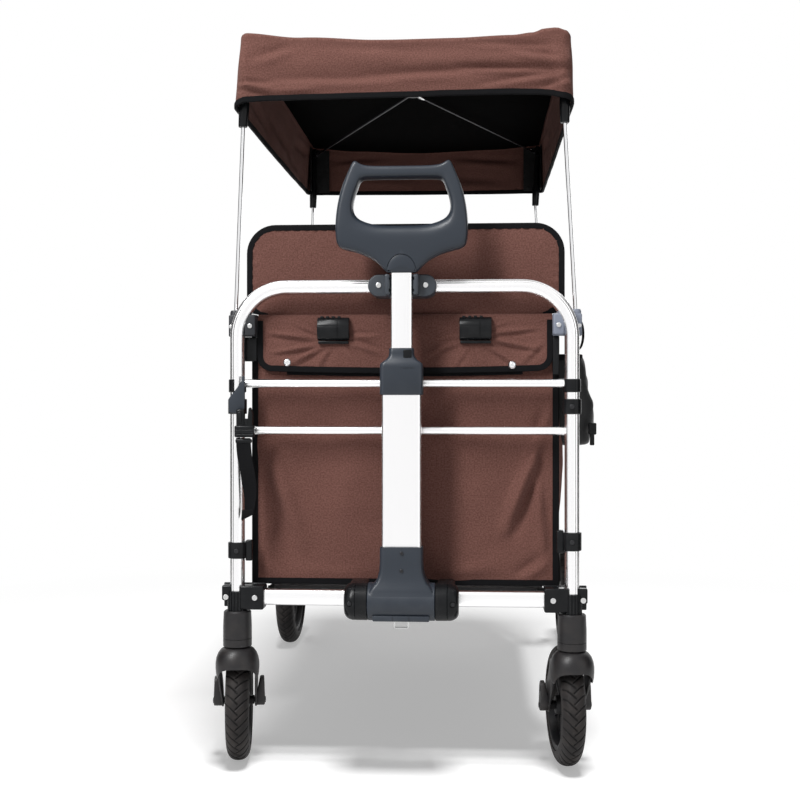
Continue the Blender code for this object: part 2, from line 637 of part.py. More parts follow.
def make_rear_wheel(label, side):
    """A large rear wheel on its stub axle, with a blind hub."""
    joint = "rear_wheel_" + label
    body(joint, (side * REAR_WHEEL_X, inside("rear", -REAR_AXLE_BACK), REAR_TYRE_RADIUS), "rear_frame")
    wheel = wheel_shape(0.0997, 0.091, 0.0165, 0.018, 0.024, 0.0054, 0.004)
    pierce(wheel, [(0.056, 0.019)] * 6)
    cap = rod((side * 0.0238, 0, 0), (side * 0.029, 0, 0), 0.016, 16)
    piece(join(wheel, cap), "rear_wheel_" + label, "wheel_plastic", joint, local=True)
    tyre = tyre_shape(REAR_TYRE_RADIUS, REAR_TYRE_INNER, REAR_TYRE_WIDTH)
    piece(tyre, "rear_tyre_" + label, "tyre_rubber", joint, local=True)


def make_floor_half(end, on):
    """A floor board with an eye at each outer corner and its half of the middle hinge."""
    board_start, end_gap = 0.050, 0.0055
    half_length = FRAME_LENGTH / 2
    pivot_y = inside(end, PIVOT_DEPTH)
    board = box(
        (-FLOOR_HALF_WIDTH, FLOOR_HALF_WIDTH),
        (inside(end, board_start), inside(end, half_length - end_gap)),
        (FLOOR_BOTTOM_Z, FLOOR_TOP_Z),
    )
    knuckle_radius, pin_radius, pin_bore = 0.005, 0.0025, 0.0029
    near, far = (0.100, 0.130) if end == "front" else (0.1305, 0.1605)
    for side in SIDES.values():
        eye_ends = [(side * x, pivot_y, FLOOR_PIVOT_Z) for x in (0.200, FLOOR_HALF_WIDTH)]
        link = box(
            (side * 0.200, side * FLOOR_HALF_WIDTH),
            (inside(end, PIVOT_DEPTH), inside(end, board_start + 0.004)),
            (FLOOR_BOTTOM_Z + 0.0005, FLOOR_TOP_Z - 0.0005),
        )
        arm = box(
            (side * near, side * far),
            (inside(end, half_length - 0.014), inside(end, half_length)),
            (FLOOR_MIDDLE_Z - 0.0045, FLOOR_MIDDLE_Z + 0.0045),
        )
        knuckle = [(side * x, MIDDLE_Y, FLOOR_MIDDLE_Z) for x in (near, far)]
        join(board, rod(*eye_ends, 0.008, 16), link, arm, rod(*knuckle, knuckle_radius, 12))
        eye_bore = [(side * x, pivot_y, FLOOR_PIVOT_Z) for x in (0.19, 0.22)]
        cut(board, rod(*eye_bore, 0.0044, 12))
        if end == "front":
            pin = [(side * x, MIDDLE_Y, FLOOR_MIDDLE_Z) for x in (near + 0.002, 0.1605)]
            join(board, rod(*pin, pin_radius, 10))
        else:
            bore = [(side * x, MIDDLE_Y, FLOOR_MIDDLE_Z) for x in (near - 0.01, far + 0.01)]
            cut(board, rod(*bore, pin_bore, 10))
    piece(board, "floor_" + end, "black_fabric", on)


def make_side_rail(end, label, side, on):
    """Half a side rail: a tube with an eye on the end pin and an eye at the middle pivot."""
    half_length = FRAME_LENGTH / 2
    end_y = inside(end, PIVOT_DEPTH)
    rail = rod(
        (side * RAIL_X, inside(end, 0.055), RAIL_PIVOT_Z),
        (side * RAIL_X, inside(end, half_length - 0.010), RAIL_PIVOT_Z),
        RAIL_RADIUS,
        12,
    )
    inner_eye, outer_eye, eye_radius, knuckle_radius = (0.2155, 0.2205), (0.2225, 0.2275), 0.0075, 0.006
    eye = rod(*[(side * x, end_y, RAIL_PIVOT_Z) for x in inner_eye], eye_radius, 16)
    link = box(
        [side * x for x in inner_eye],
        (end_y, inside(end, 0.062)),
        (RAIL_PIVOT_Z - 0.0055, RAIL_PIVOT_Z + 0.0055),
    )
    middle_eye = inner_eye if end == "front" else outer_eye
    arm = [(0, 0.006), (0.030, -0.0045), (0.030, -0.0155), (0.011, -0.0155), (0, -0.006)]
    outline = [(inside(end, half_length - back), RAIL_MIDDLE_Z + up) for back, up in arm]
    arm = plate([outline], "YZ", side * middle_eye[0], side * middle_eye[1])
    knuckle = rod(*[(side * x, MIDDLE_Y, RAIL_MIDDLE_Z) for x in middle_eye], knuckle_radius, 16)
    join(rail, eye, link, arm, knuckle)
    cut(rail, rod(*[(side * x, end_y, RAIL_PIVOT_Z) for x in (0.2100, 0.2213)], 0.0039, 12))
    if end == "front":
        join(rail, rod(*[(side * x, MIDDLE_Y, RAIL_MIDDLE_Z) for x in (0.2165, 0.2280)], 0.003, 12))
    else:
        cut(rail, rod(*[(side * x, MIDDLE_Y, RAIL_MIDDLE_Z) for x in (0.2210, 0.2300)], 0.0034, 12))
    piece(rail, f"side_rail_{end}_{label}", "aluminium", on)


def tall_panel(end):
    """The padded end panel above the rim, folded over the rim rod into a flap outside it."""
    corner, half_width, lower_half, flap_half = 0.043, 0.2405, 0.2135, 0.2205
    lower_bottom, flap_bottom = 0.600, 0.5966
    outline = [(-half_width, TUB_TOP_Z), (half_width, TUB_TOP_Z)]
    outline += arc((half_width - corner, TALL_TOP_Z - corner), corner, 0, 90, 5)
    outline += arc((-half_width + corner, TALL_TOP_Z - corner), corner, 90, 180, 5)
    tall = plate([outline], "XZ", inside(end, 0.029), inside(end, 0.037))
    panel_y = (inside(end, 0.029), inside(end, 0.037))
    lower = box((-lower_half, lower_half), panel_y, (lower_bottom, 0.690))
    bridge = box((-flap_half, flap_half), (inside(end, 0.0135), inside(end, 0.035)), (0.676, TUB_TOP_Z))
    flap = box((-flap_half, flap_half), (inside(end, 0.0135), inside(end, 0.0195)), (flap_bottom, 0.680))
    return join(tall, lower, bridge, flap)


def make_end_fabric():
    """The fabric at both ends of the tub."""
    low, high, half_width, rear_half_width = 0.2746, 0.648, 0.2325, 0.2130
    front = box((-half_width, half_width), (inside("front", 0.022), inside("front", 0.026)), (low, high))
    piece(front, "front_panel", "brown_fabric", "front_frame")
    piece(tall_panel("front"), "front_tall_panel", "brown_fabric", "front_frame")
    rear_y = (inside("rear", 0.022), inside("rear", 0.0295))
    rear = box((-rear_half_width, rear_half_width), rear_y, (low, high))
    piece(join(tall_panel("rear"), rear), "rear_panel", "brown_fabric", "rear_frame")


def make_side_fabric(label, side):
    panel = box(
        (side * 0.2300, side * 0.2330), (inside("front", 0.0265), inside("rear", 0.027)), (0.270, TUB_TOP_Z)
    )
    piece(panel, "side_panel_" + label, "brown_fabric", "front_frame")


def make_pouch():
    """The small open bag on the right side of the tub."""
    wall = 0.003
    x, y, z = (0.2335, 0.287), (FRONT_Y + 0.040, FRONT_Y + 0.170), (0.485, 0.625)
    room = box((x[0] + wall, x[1] - wall), (y[0] + wall, y[1] - wall), (z[0] + wall, z[1] + 0.01))
    piece(cut(box(x, y, z), room), "side_pouch", "black_fabric", "front_frame")


def make_fold_strap():
    """The strap that holds the folded wagon closed, hanging in front of the left leg."""
    webbing = [(-0.2475, 0.500), (-0.2225, 0.500), (-0.2105, 0.3775), (-0.2355, 0.3775)]
    strap = plate([webbing], "XZ", FRONT_Y - 0.0225, FRONT_Y - 0.0205)
    male = box((-0.2470, -0.2215), (FRONT_Y - 0.0265, FRONT_Y - 0.0165), (0.492, 0.540))
    female = box((-0.2530, -0.2300), (FRONT_Y - 0.0275, FRONT_Y - 0.0145), (0.537, 0.5724))
    piece(join(strap, male, female), "fold_strap", "black_fabric", "front_frame")


def canopy_section(inset, bottom):
    """The canopy's outline across the wagon, as (x, z) points, set in by `inset`."""
    top = CANOPY_HALF_WIDTH - inset
    hem = CANOPY_HEM_HALF_WIDTH - inset
    spread = [top * (1 - 2 * i / 12) for i in range(13)]
    sag = [CANOPY_SAG * (1 - (x / CANOPY_HALF_WIDTH) ** 2) for x in spread]
    roof = [(x, CANOPY_TOP_Z - inset - drop) for x, drop in zip(spread, sag)]
    return [(hem, bottom)] + roof + [(-hem, bottom)]


def make_canopy():
    """The canopy's fabric, a shallow lid with skirts all round, and the crossed rods under it."""
    fabric = plate(
        [canopy_section(0, CANOPY_HEM_Z)], "XZ", inside("front", CANOPY_DEPTH), inside("rear", CANOPY_DEPTH)
    )
    room = plate(
        [canopy_section(CANOPY_THICKNESS, CANOPY_HEM_Z - 0.01)],
        "XZ",
        inside("front", CANOPY_DEPTH + CANOPY_THICKNESS),
        inside("rear", CANOPY_DEPTH + CANOPY_THICKNESS),
    )
    piece(cut(fabric, room), "canopy_fabric", "brown_fabric", "front_frame")

    rod_z, rod_radius, hub_radius, short = 1.085, 0.0025, 0.015, 0.008
    middle = Vector((0, inside("front", CROSS_HUB_DEPTH), rod_z))
    hub = rod(middle - Vector((0, 0, 0.006)), middle + Vector((0, 0, 0.005)), hub_radius, 16)
    for side in SIDES.values():
        for end in ENDS:
            corner = Vector((side * POLE_TOP[0], inside(end, POLE_TOP[1]), rod_z))
            corner -= (corner - middle).normalized() * short
            join(hub, rod(middle, corner, rod_radius, 8))
    piece(hub, "canopy_cross_frame", "steel", "front_frame")


def make_wagon():
    body("front_frame")
    body("floor_front", (0, inside("front", PIVOT_DEPTH), FLOOR_PIVOT_Z), "front_frame")
    body("floor_rear", (0, MIDDLE_Y, FLOOR_MIDDLE_Z), "floor_front")
    body("rear_frame", (0, inside("rear", PIVOT_DEPTH), FLOOR_PIVOT_Z), "floor_rear")
    body("handle", (0, HANDLE_Y, HANDLE_AXIS_Z), "front_frame")
    body("handle_slide", (0, HANDLE_Y, HANDLE_AXIS_Z), "handle")
    body("release_button", (0, HANDLE_Y, HANDLE_AXIS_Z), "handle_slide")

    carriers = {"front": "front_frame", "rear": "rear_frame"}
    spaces = {end: hoop_space(end) for end in ENDS}
    for end, on in carriers.items():
        make_hoop_frame(end, on)
        make_floor_half(end, "floor_" + end)
    reach = LEG_X - HOOP_RADIUS - TOUCH_GAP
    lower_ends = [(x, FRONT_Y, LOWER_CROSS_Z) for x in (-reach, reach)]
    lower_tube = rod(*lower_ends, CROSS_TUBE_RADIUS, 12)
    piece(lower_tube, "front_lower_cross_tube", "aluminium", "front_frame")
    make_handle_clip(spaces["front"])
    make_pivot_bracket()
    make_handle()
    make_grip()
    make_end_fabric()
    make_canopy()
    make_pouch()
    make_fold_strap()
    for label, side in SIDES.items():
        body("rail_front_" + label, (0, inside("front", PIVOT_DEPTH), RAIL_PIVOT_Z), "front_frame")
        body("rail_rear_" + label, (0, MIDDLE_Y, RAIL_MIDDLE_Z), "rail_front_" + label)
        make_front_corner(label, side, spaces["front"])
        make_rear_corner(label, side, spaces["rear"])
        make_leg_joint(label, side, spaces["front"])
        make_castor(label, side)
        make_rear_wheel(label, side)
        make_side_fabric(label, side)
        for end, on in carriers.items():
            make_rim_bracket(end, label, side, spaces[end], on)
            make_canopy_pole(end, label, side, on)
            make_side_rail(end, label, side, f"rail_{end}_{label}")


make_wagon()
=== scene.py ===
import json
from math import atan2, copysign, cos, degrees, exp, hypot, pi, radians, sin, sqrt, tau

import bmesh
import bpy
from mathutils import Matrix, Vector, noise

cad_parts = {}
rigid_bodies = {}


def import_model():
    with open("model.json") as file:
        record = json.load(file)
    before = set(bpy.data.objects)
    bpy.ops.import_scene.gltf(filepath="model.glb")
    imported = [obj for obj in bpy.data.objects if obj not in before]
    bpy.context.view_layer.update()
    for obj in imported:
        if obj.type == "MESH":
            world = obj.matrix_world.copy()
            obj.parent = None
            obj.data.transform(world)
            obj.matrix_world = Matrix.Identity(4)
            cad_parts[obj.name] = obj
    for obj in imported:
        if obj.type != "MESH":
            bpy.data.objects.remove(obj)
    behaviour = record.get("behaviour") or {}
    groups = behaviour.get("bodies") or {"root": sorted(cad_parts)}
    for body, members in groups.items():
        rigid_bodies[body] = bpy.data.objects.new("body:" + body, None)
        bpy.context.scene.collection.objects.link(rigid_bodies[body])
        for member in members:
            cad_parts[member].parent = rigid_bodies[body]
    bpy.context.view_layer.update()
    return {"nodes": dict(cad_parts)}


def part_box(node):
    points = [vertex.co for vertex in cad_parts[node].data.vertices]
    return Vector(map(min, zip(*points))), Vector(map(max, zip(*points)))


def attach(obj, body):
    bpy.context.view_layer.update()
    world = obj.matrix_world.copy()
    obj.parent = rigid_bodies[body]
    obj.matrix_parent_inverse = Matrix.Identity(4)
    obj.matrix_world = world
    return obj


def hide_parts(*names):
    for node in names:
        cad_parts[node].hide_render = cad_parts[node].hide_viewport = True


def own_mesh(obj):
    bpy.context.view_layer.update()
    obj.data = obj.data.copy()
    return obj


for leftOver in list(bpy.data.objects):
    bpy.data.objects.remove(leftOver, do_unlink=True)
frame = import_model()
print("frame loaded:", len(frame["nodes"]), "nodes")


def middleOf(node):
    low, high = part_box(node)
    return (low + high) / 2


# places that several pieces share, in metres, read from the frame
frontY = middleOf("front_hoop").y
rearY = middleOf("rear_hoop").y
legX = middleOf("front_lower_collar_right").x
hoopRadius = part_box("front_hoop")[1].x - legX
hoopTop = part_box("front_hoop")[1].z - hoopRadius
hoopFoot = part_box("front_hoop")[0].z
handleY = middleOf("handle_outer_tube").y
handlePivotZ = middleOf("handle_pivot_bracket").z
middleY = (frontY + rearY) / 2
ends = {"front": (frontY, 1, "front_frame"), "rear": (rearY, -1, "rear_frame")}
sides = {"left": -1, "right": 1}


def behind(end, depth):  # the Y that lies depth from an end's legs, towards the middle
    legY, inward, _ = ends[end]
    return legY + inward * depth


# tools that every piece uses


def dropSelection():
    if bpy.context.object and bpy.context.object.mode != "OBJECT":
        bpy.ops.object.mode_set(mode="OBJECT")
    bpy.ops.object.select_all(action="DESELECT")


def choose(obj):
    dropSelection()
    obj.select_set(True)
    bpy.context.view_layer.objects.active = obj


def startEdit(obj):
    choose(obj)
    bpy.ops.object.mode_set(mode="EDIT")
    bpy.ops.mesh.select_all(action="SELECT")


def endEdit():
    bpy.ops.object.mode_set(mode="OBJECT")


def pick(obj, test, kind="FACE"):  # in edit mode, selects what test accepts by place and direction
    bpy.ops.mesh.select_mode(type=kind)
    bpy.ops.mesh.select_all(action="DESELECT")
    cage = bmesh.from_edit_mesh(obj.data)
    cage.normal_update()
    if kind == "FACE":
        for face in cage.faces:
            face.select_set(bool(test(face.calc_center_median(), face.normal)))
    else:
        for edge in cage.edges:
            first, second = (vert.co for vert in edge.verts)
            edge.select_set(bool(test((first + second) / 2, (second - first).normalized())))
    cage.select_flush_mode()
    bmesh.update_edit_mesh(obj.data)


def applyModifiers(obj):
    choose(obj)
    for modifier in list(obj.modifiers):
        bpy.ops.object.modifier_apply(modifier=modifier.name)
    return obj


def placeNow():
    bpy.ops.object.transform_apply(location=True, rotation=True, scale=True)
    return bpy.context.object


def turned(obj, turn, place=(0, 0, 0), size=(1, 1, 1)):
    choose(obj)
    obj.rotation_euler, obj.location, obj.scale = turn, place, size
    return placeNow()


def outwards(obj):  # closes the seams and turns every face outwards
    startEdit(obj)
    bpy.ops.mesh.remove_doubles(threshold=0.00001)
    bpy.ops.mesh.delete_loose(use_verts=True, use_edges=True, use_faces=False)
    bpy.ops.mesh.select_all(action="SELECT")
    bpy.ops.mesh.normals_make_consistent(inside=False)
    endEdit()
    return obj


def soften(obj, width, steps, angle=40):
    bevel = obj.modifiers.new("soft edges", "BEVEL")
    bevel.width = width
    bevel.segments = steps
    bevel.limit_method = "ANGLE"
    bevel.angle_limit = radians(angle)
    return applyModifiers(obj)


def block(low, high, rounding=0, steps=3):
    dropSelection()
    low, high = Vector(low), Vector(high)
    bpy.ops.mesh.primitive_cube_add(size=1, location=(low + high) / 2)
    obj = bpy.context.object
    obj.scale = [abs(size) for size in high - low]
    placeNow()
    return soften(obj, rounding, steps) if rounding else obj


def brick(side, end, xs, depths, zs, *rounding):  # a block on one side, at depths behind an end's legs
    low, high = ((side * x, behind(end, depth), z) for x, depth, z in zip(xs, depths, zs))
    return block(low, high, *rounding)


def bar(start, end, radius, sides, rounding=0):
    dropSelection()
    start, end = Vector(start), Vector(end)
    turn = (end - start).to_track_quat("Z", "Y").to_euler()
    bpy.ops.mesh.primitive_cone_add(
        vertices=sides, radius1=radius, radius2=radius, depth=(end - start).length,
        location=(start + end) / 2, rotation=turn,
    )
    obj = placeNow()
    return soften(obj, rounding, 2, 50) if rounding else obj


def spot(across, value, a, b):  # a point from a value on one axis and the two others in order
    return {"X": (value, a, b), "Y": (a, value, b), "Z": (a, b, value)}[across]


def plate(outline, across, low, high, rounding=0, steps=3, angle=40):
    dropSelection()
    bpy.ops.mesh.primitive_circle_add(vertices=len(outline), radius=1, fill_type="NGON")
    obj = bpy.context.object
    for vertex, (a, b) in zip(obj.data.vertices, outline):
        vertex.co = spot(across, low, a, b)
    startEdit(obj)
    bpy.ops.mesh.extrude_region_move(TRANSFORM_OT_translate={"value": spot(across, high - low, 0, 0)})
    endEdit()
    outwards(obj)
    return soften(obj, rounding, steps, angle) if rounding else obj


def lathe(profile, centre, across, turns):  # spins a closed profile of (radius, along) points
    dropSelection()
    bpy.ops.mesh.primitive_circle_add(vertices=len(profile), radius=1)
    obj = bpy.context.object
    centre = Vector(centre)
    for vertex, (radius, along) in zip(obj.data.vertices, profile):
        vertex.co = centre + Vector(spot(across, along, radius, 0))
    startEdit(obj)
    bpy.ops.mesh.spin(steps=turns, angle=tau, center=centre, axis=spot(across, 1, 0, 0))
    endEdit()
    return outwards(obj)


def roundedBox(centre, width, height, radius):
    points = []
    x, y = width / 2 - radius, height / 2 - radius
    for quarter, (sx, sy) in enumerate(((1, 1), (-1, 1), (-1, -1), (1, -1))):
        for step in range(7):
            angle = radians(90 * (quarter + step / 6))
            points.append((
                centre[0] + sx * x + radius * cos(angle),
                centre[1] + sy * y + radius * sin(angle),
            ))
    return points


def mirrored(shape):  # a profile's second half, the first one turned over
    return shape + [(radius, -along) for radius, along in reversed(shape)]


def arc(centre, radius, start, end, steps):
    angles = [radians(start + (end - start) * i / steps) for i in range(steps + 1)]
    return [(centre[0] + radius * cos(a), centre[1] + radius * sin(a)) for a in angles]


def combine(obj, other, operation):
    modifier = obj.modifiers.new("combine", "BOOLEAN")
    modifier.operation = operation
    modifier.object = other
    modifier.use_self = "shells" in obj or "shells" in other  # pieces of several shells stay whole
    applyModifiers(obj)
    bpy.data.objects.remove(other, do_unlink=True)
    return obj


def fuse(obj, *others):
    for other in others:
        combine(obj, other, "UNION")
    return obj


def carve(obj, *others):
    for other in others:
        combine(obj, other, "DIFFERENCE")
    return obj


def together(obj, *others):  # one object of several closed shells
    choose(obj)
    for other in others:
        other.select_set(True)
    bpy.ops.object.join()
    obj["shells"] = True
    return obj


def copyOf(obj):
    choose(obj)
    bpy.ops.object.duplicate(linked=False)
    return bpy.context.object


def wire(points, radius, sides=3):  # a round wire along points, as a mesh
    dropSelection()
    curve = bpy.data.curves.new("wire", "CURVE")
    curve.dimensions = "3D"
    curve.bevel_depth = radius
    curve.bevel_resolution = sides
    curve.use_fill_caps = True
    spline = curve.splines.new("POLY")
    spline.points.add(len(points) - 1)
    for knot, place in zip(spline.points, points):
        knot.co = (*place, 1)
    obj = bpy.data.objects.new("wire", curve)
    bpy.context.scene.collection.objects.link(obj)
    choose(obj)
    bpy.ops.object.convert(target="MESH")
    return outwards(bpy.context.object)


def smoothLine(points, steps):  # a Catmull-Rom line through given points
    points = [Vector(point) for point in points]
    padded = [2 * points[0] - points[1]] + points + [2 * points[-1] - points[-2]]
    line = []
    for before, first, second, after in zip(padded, padded[1:], padded[2:], padded[3:]):
        for step in range(steps):
            t = step / steps
            line.append(0.5 * (
                2 * first + (second - before) * t
                + (2 * before - 5 * first + 4 * second - after) * t * t
                + (3 * first - before - 3 * second + after) * t ** 3
            ))
    return line + [points[-1]]


# finishes: node groups first, then one material for each


def newGroup(name, inputs, outputs):
    tree = bpy.data.node_groups.new(name, "ShaderNodeTree")
    kinds = {1: "Float", 3: "Vector", 4: "Color"}
    for label, value in inputs.items():
        kind = kinds[len(value) if isinstance(value, tuple) else 1]
        socket = tree.interface.new_socket(name=label, in_out="INPUT", socket_type="NodeSocket" + kind)
        socket.default_value = value
    for label in outputs:
        kind = "Color" if label == "Color" else "Float"
        tree.interface.new_socket(name=label, in_out="OUTPUT", socket_type="NodeSocket" + kind)
    return tree, tree.nodes.new("NodeGroupInput").outputs, tree.nodes.new("NodeGroupOutput").inputs


def fill(tree, made, inputs):  # links the sockets given and sets the values given
    for label, value in inputs.items():
        if isinstance(value, bpy.types.NodeSocket):
            tree.links.new(value, made.inputs[label])
        else:
            made.inputs[label].default_value = value
    return made


def wired(tree, kind, inputs=(), **settings):
    made = tree.nodes.new("ShaderNode" + kind)
    for label, value in settings.items():
        setattr(made, label, value)
    return fill(tree, made, dict(inputs))


def maths(tree, operation, *values):
    return wired(tree, "Math", dict(enumerate(values)), operation=operation).outputs[0]


def swingOf(tree, noise01, amount):  # a noise of 0 to 1 as a swing to both sides of nothing
    return maths(tree, "MULTIPLY", maths(tree, "SUBTRACT", noise01, 0.5), amount)


def cloudOf(tree, place, scale, detail, **more):
    return wired(tree, "TexNoise", {"Vector": place, "Scale": scale, "Detail": detail, **more}).outputs[0]


def rangeOf(tree, value, *ends, **settings):
    return wired(tree, "MapRange", dict(enumerate((value, *ends))), **settings).outputs[0]


def scaledColour(tree, shade, level):
    return wired(tree, "VectorMath", {0: shade, "Scale": level}, operation="SCALE").outputs[0]


def blendColours(tree, factor, first, second):
    return wired(tree, "Mix", {0: factor, 6: first, 7: second}, data_type="RGBA").outputs[2]


def makeWeave():  # plain weave: threads of one pitch over and under each other along the piece's own map
    tree, given, result = newGroup("weave", {
        "Flat": (0, 0, 0), "Pitch": 0.0008, "Thread": (1, 1, 1, 1), "Gap": (0, 0, 0, 1), "Slub": 0.2,
    }, ("Color", "Height"))
    apart = wired(tree, "SeparateXYZ", {0: given["Flat"]}).outputs
    turn = maths(tree, "DIVIDE", tau, given["Pitch"])
    waves = [maths(tree, "SINE", maths(tree, "MULTIPLY", apart[axis], turn)) for axis in (0, 1)]
    height = maths(tree, "MULTIPLY_ADD", maths(tree, "MULTIPLY", *waves), 0.5, 0.5)
    uneven = swingOf(tree, cloudOf(tree, given["Flat"], 420.0, 3.0), given["Slub"])
    shade = maths(tree, "ADD", height, maths(tree, "MULTIPLY", uneven, 2.0))
    tree.links.new(blendColours(tree, shade, given["Gap"], given["Thread"]), result["Color"])
    tree.links.new(maths(tree, "ADD", height, uneven), result["Height"])
    return tree


def makeMottle():  # slow change of a colour over a piece, as in dyed cloth or handled plastic
    tree, given, result = newGroup("mottle", {
        "Place": (0, 0, 0), "Scale": 10.0, "Amount": 0.2, "Color": (1, 1, 1, 1),
    }, ("Color",))
    swing = swingOf(tree, cloudOf(tree, given["Place"], given["Scale"], 4.0), given["Amount"])
    tree.links.new(scaledColour(tree, given["Color"], maths(tree, "ADD", swing, 1.0)), result["Color"])
    return tree


def makeGrain():  # the fine spark texture of moulded plastic, with a second, slower ripple
    tree, given, result = newGroup("grain", {
        "Place": (0, 0, 0), "Scale": 900.0, "Rough": 0.45, "Spread": 0.1,
    }, ("Height", "Roughness"))
    pits = wired(tree, "TexVoronoi", {"Vector": given["Place"], "Scale": given["Scale"]}).outputs[0]
    slow = cloudOf(tree, given["Place"], 35.0, 2.0)
    tree.links.new(maths(tree, "MULTIPLY_ADD", slow, 0.6, pits), result["Height"])
    rough = maths(tree, "ADD", given["Rough"], swingOf(tree, slow, given["Spread"]))
    tree.links.new(rough, result["Roughness"])
    return tree


def makeDrawn():  # fine lines along a drawn metal tube, from a map that is stretched along it
    tree, given, result = newGroup("drawn", {
        "Place": (0, 0, 0), "Scale": 60.0, "Rough": 0.3, "Spread": 0.15,
    }, ("Height", "Roughness", "Shade"))
    lines = cloudOf(tree, given["Place"], given["Scale"], 6.0, Roughness=0.7)
    tree.links.new(lines, result["Height"])
    rough = maths(tree, "ADD", given["Rough"], swingOf(tree, lines, given["Spread"]))
    tree.links.new(rough, result["Roughness"])
    tree.links.new(maths(tree, "MULTIPLY_ADD", lines, 0.06, 0.96), result["Shade"])
    return tree


def makeEdgeWear():  # where edges and ridges of a piece stand out and rub bare
    tree, given, result = newGroup("edgeWear", {"Place": (0, 0, 0), "Amount": 0.5}, ("Mask",))
    keen = rangeOf(tree, wired(tree, "NewGeometry").outputs["Pointiness"], 0.52, 0.6, 0.0, 1.0)
    rubbed = rangeOf(tree, cloudOf(tree, given["Place"], 60.0, 3.0), 0.4, 0.65, 0.2, 1.0)
    bare = maths(tree, "MULTIPLY", keen, rubbed)
    tree.links.new(maths(tree, "MULTIPLY", bare, given["Amount"]), result["Mask"])
    return tree


def makeDust():  # dust that settles low on a piece, in scattered patches
    tree, given, result = newGroup("dust", {"Place": (0, 0, 0), "Top": 0.3, "Amount": 0.5}, ("Mask",))
    height = wired(tree, "SeparateXYZ", {0: given["Place"]}).outputs[2]
    low = rangeOf(tree, height, given["Top"], 0.0, 0.25, 1.0)
    scattered = rangeOf(tree, cloudOf(tree, given["Place"], 45.0, 8.0), 0.42, 0.72, 0.0, 1.0)
    settled = maths(tree, "MULTIPLY", low, scattered)
    tree.links.new(maths(tree, "MULTIPLY", settled, given["Amount"]), result["Mask"])
    return tree


groups = {
    "weave": makeWeave(), "mottle": makeMottle(), "grain": makeGrain(),
    "drawn": makeDrawn(), "edgeWear": makeEdgeWear(), "dust": makeDust(),
}


def newMaterial(name, roughness, metallic=0.0, **constants):
    material = bpy.data.materials.new(name)
    material.use_nodes = True
    tree = material.node_tree
    shader = tree.nodes["Principled BSDF"]
    shader.inputs["Roughness"].default_value = roughness
    shader.inputs["Metallic"].default_value = metallic
    for label, value in constants.items():
        shader.inputs[label].default_value = value
    return material, tree, shader


def placed(tree, name, inputs):
    made = tree.nodes.new("ShaderNodeGroup")
    made.node_tree = groups[name]
    return fill(tree, made, inputs).outputs


def placeOn(tree, stretch=(1, 1, 1)):
    where = wired(tree, "TexCoord").outputs["Object"]
    return wired(tree, "Mapping", {"Vector": where, "Scale": stretch}).outputs[0]


def bumped(tree, shader, height, distance, strength):
    bump = wired(tree, "Bump", {"Height": height, "Distance": distance, "Strength": strength})
    tree.links.new(bump.outputs[0], shader.inputs["Normal"])


def grained(tree, shader, place, scale, rough, distance, strength):
    grain = placed(tree, "grain", {"Place": place, "Scale": scale, "Rough": rough})
    tree.links.new(grain["Roughness"], shader.inputs["Roughness"])
    bumped(tree, shader, grain["Height"], distance, strength)


def colour(*rgb):
    return (*rgb, 1.0)


cloth = {  # thread, gap between threads, roughness, sheen, gloss, mottle, crumple, slub, pitch of the threads
    "brownCanvas": (
        colour(0.17, 0.08, 0.066), colour(0.104, 0.043, 0.033), 0.86, 0.05, 0.15, 0.16, 0.0018, 1.6, 0.0009,
    ),
    "blackTape": (
        colour(0.0065, 0.0065, 0.007), colour(0.002, 0.002, 0.003), 0.78, 0.01, 0.1, 0.25, 0.0006, 0.4,
        0.0012,
    ),
    # a near black sheet under the canopy's roof: painted shade
    "paintedShadeBlack": (
        colour(0.002, 0.0019, 0.002), colour(0.0006, 0.0006, 0.0006), 0.92, 0.0, 0.02, 0.2, 0.0012, 0.4,
        0.0008,
    ),
    "blackNylon": (
        colour(0.01, 0.01, 0.011), colour(0.003, 0.003, 0.003), 0.55, 0.04, 0.3, 0.25, 0.0022, 0.4, 0.001,
    ),
}


def makeCloth(name):
    thread, gap, roughness, sheen, gloss, mottle, crumple, slub, pitch = cloth[name]
    material, tree, shader = newMaterial(
        name, roughness, **{"Sheen Weight": sheen, "Sheen Roughness": 0.45, "Specular IOR Level": gloss}
    )
    flat = wired(tree, "UVMap", uv_map="flat").outputs[0]
    threads = placed(tree, "weave", {
        "Flat": flat, "Pitch": pitch, "Thread": thread, "Gap": gap, "Slub": slub,
    })
    dyed = placed(tree, "mottle", {
        "Place": placeOn(tree), "Scale": 14.0, "Amount": mottle, "Color": threads["Color"],
    })
    tree.links.new(dyed["Color"], shader.inputs["Base Color"])
    threadHeight = maths(tree, "MULTIPLY", threads["Height"], 0.00012)
    height = maths(tree, "MULTIPLY_ADD", cloudOf(tree, placeOn(tree), 55.0, 3.0), crumple, threadHeight)
    bumped(tree, shader, height, 1.0, 0.8)
    return material


plastic = {  # colour, roughness, scale of the grain, wear of the edges, dust, gloss
    "charcoal": (colour(0.022, 0.028, 0.038), 0.36, 900.0, 0.2, 0.0, 0.35),
    # charcoal made lighter: a painted highlight on the handle clip
    "charcoalPaintedHighlight": (colour(0.04, 0.047, 0.057), 0.34, 900.0, 0.2, 0.0, 0.35),
    "black": (colour(0.006, 0.0065, 0.0075), 0.25, 1000.0, 0.2, 0.0, 0.16),
    "dusty": (colour(0.011, 0.01, 0.011), 0.4, 700.0, 0.2, 0.25, 0.34),
    "grey": (colour(0.19, 0.21, 0.26), 0.4, 900.0, 0.25, 0.0, 0.35),
    # a darker copy of grey: painted shade on the front left rim holder
    "paintedShadeGrey": (colour(0.024, 0.025, 0.029), 0.4, 900.0, 0.25, 0.0, 0.25),
    "wheel": (colour(0.008, 0.008, 0.009), 0.45, 800.0, 0.25, 0.2, 0.22),
}


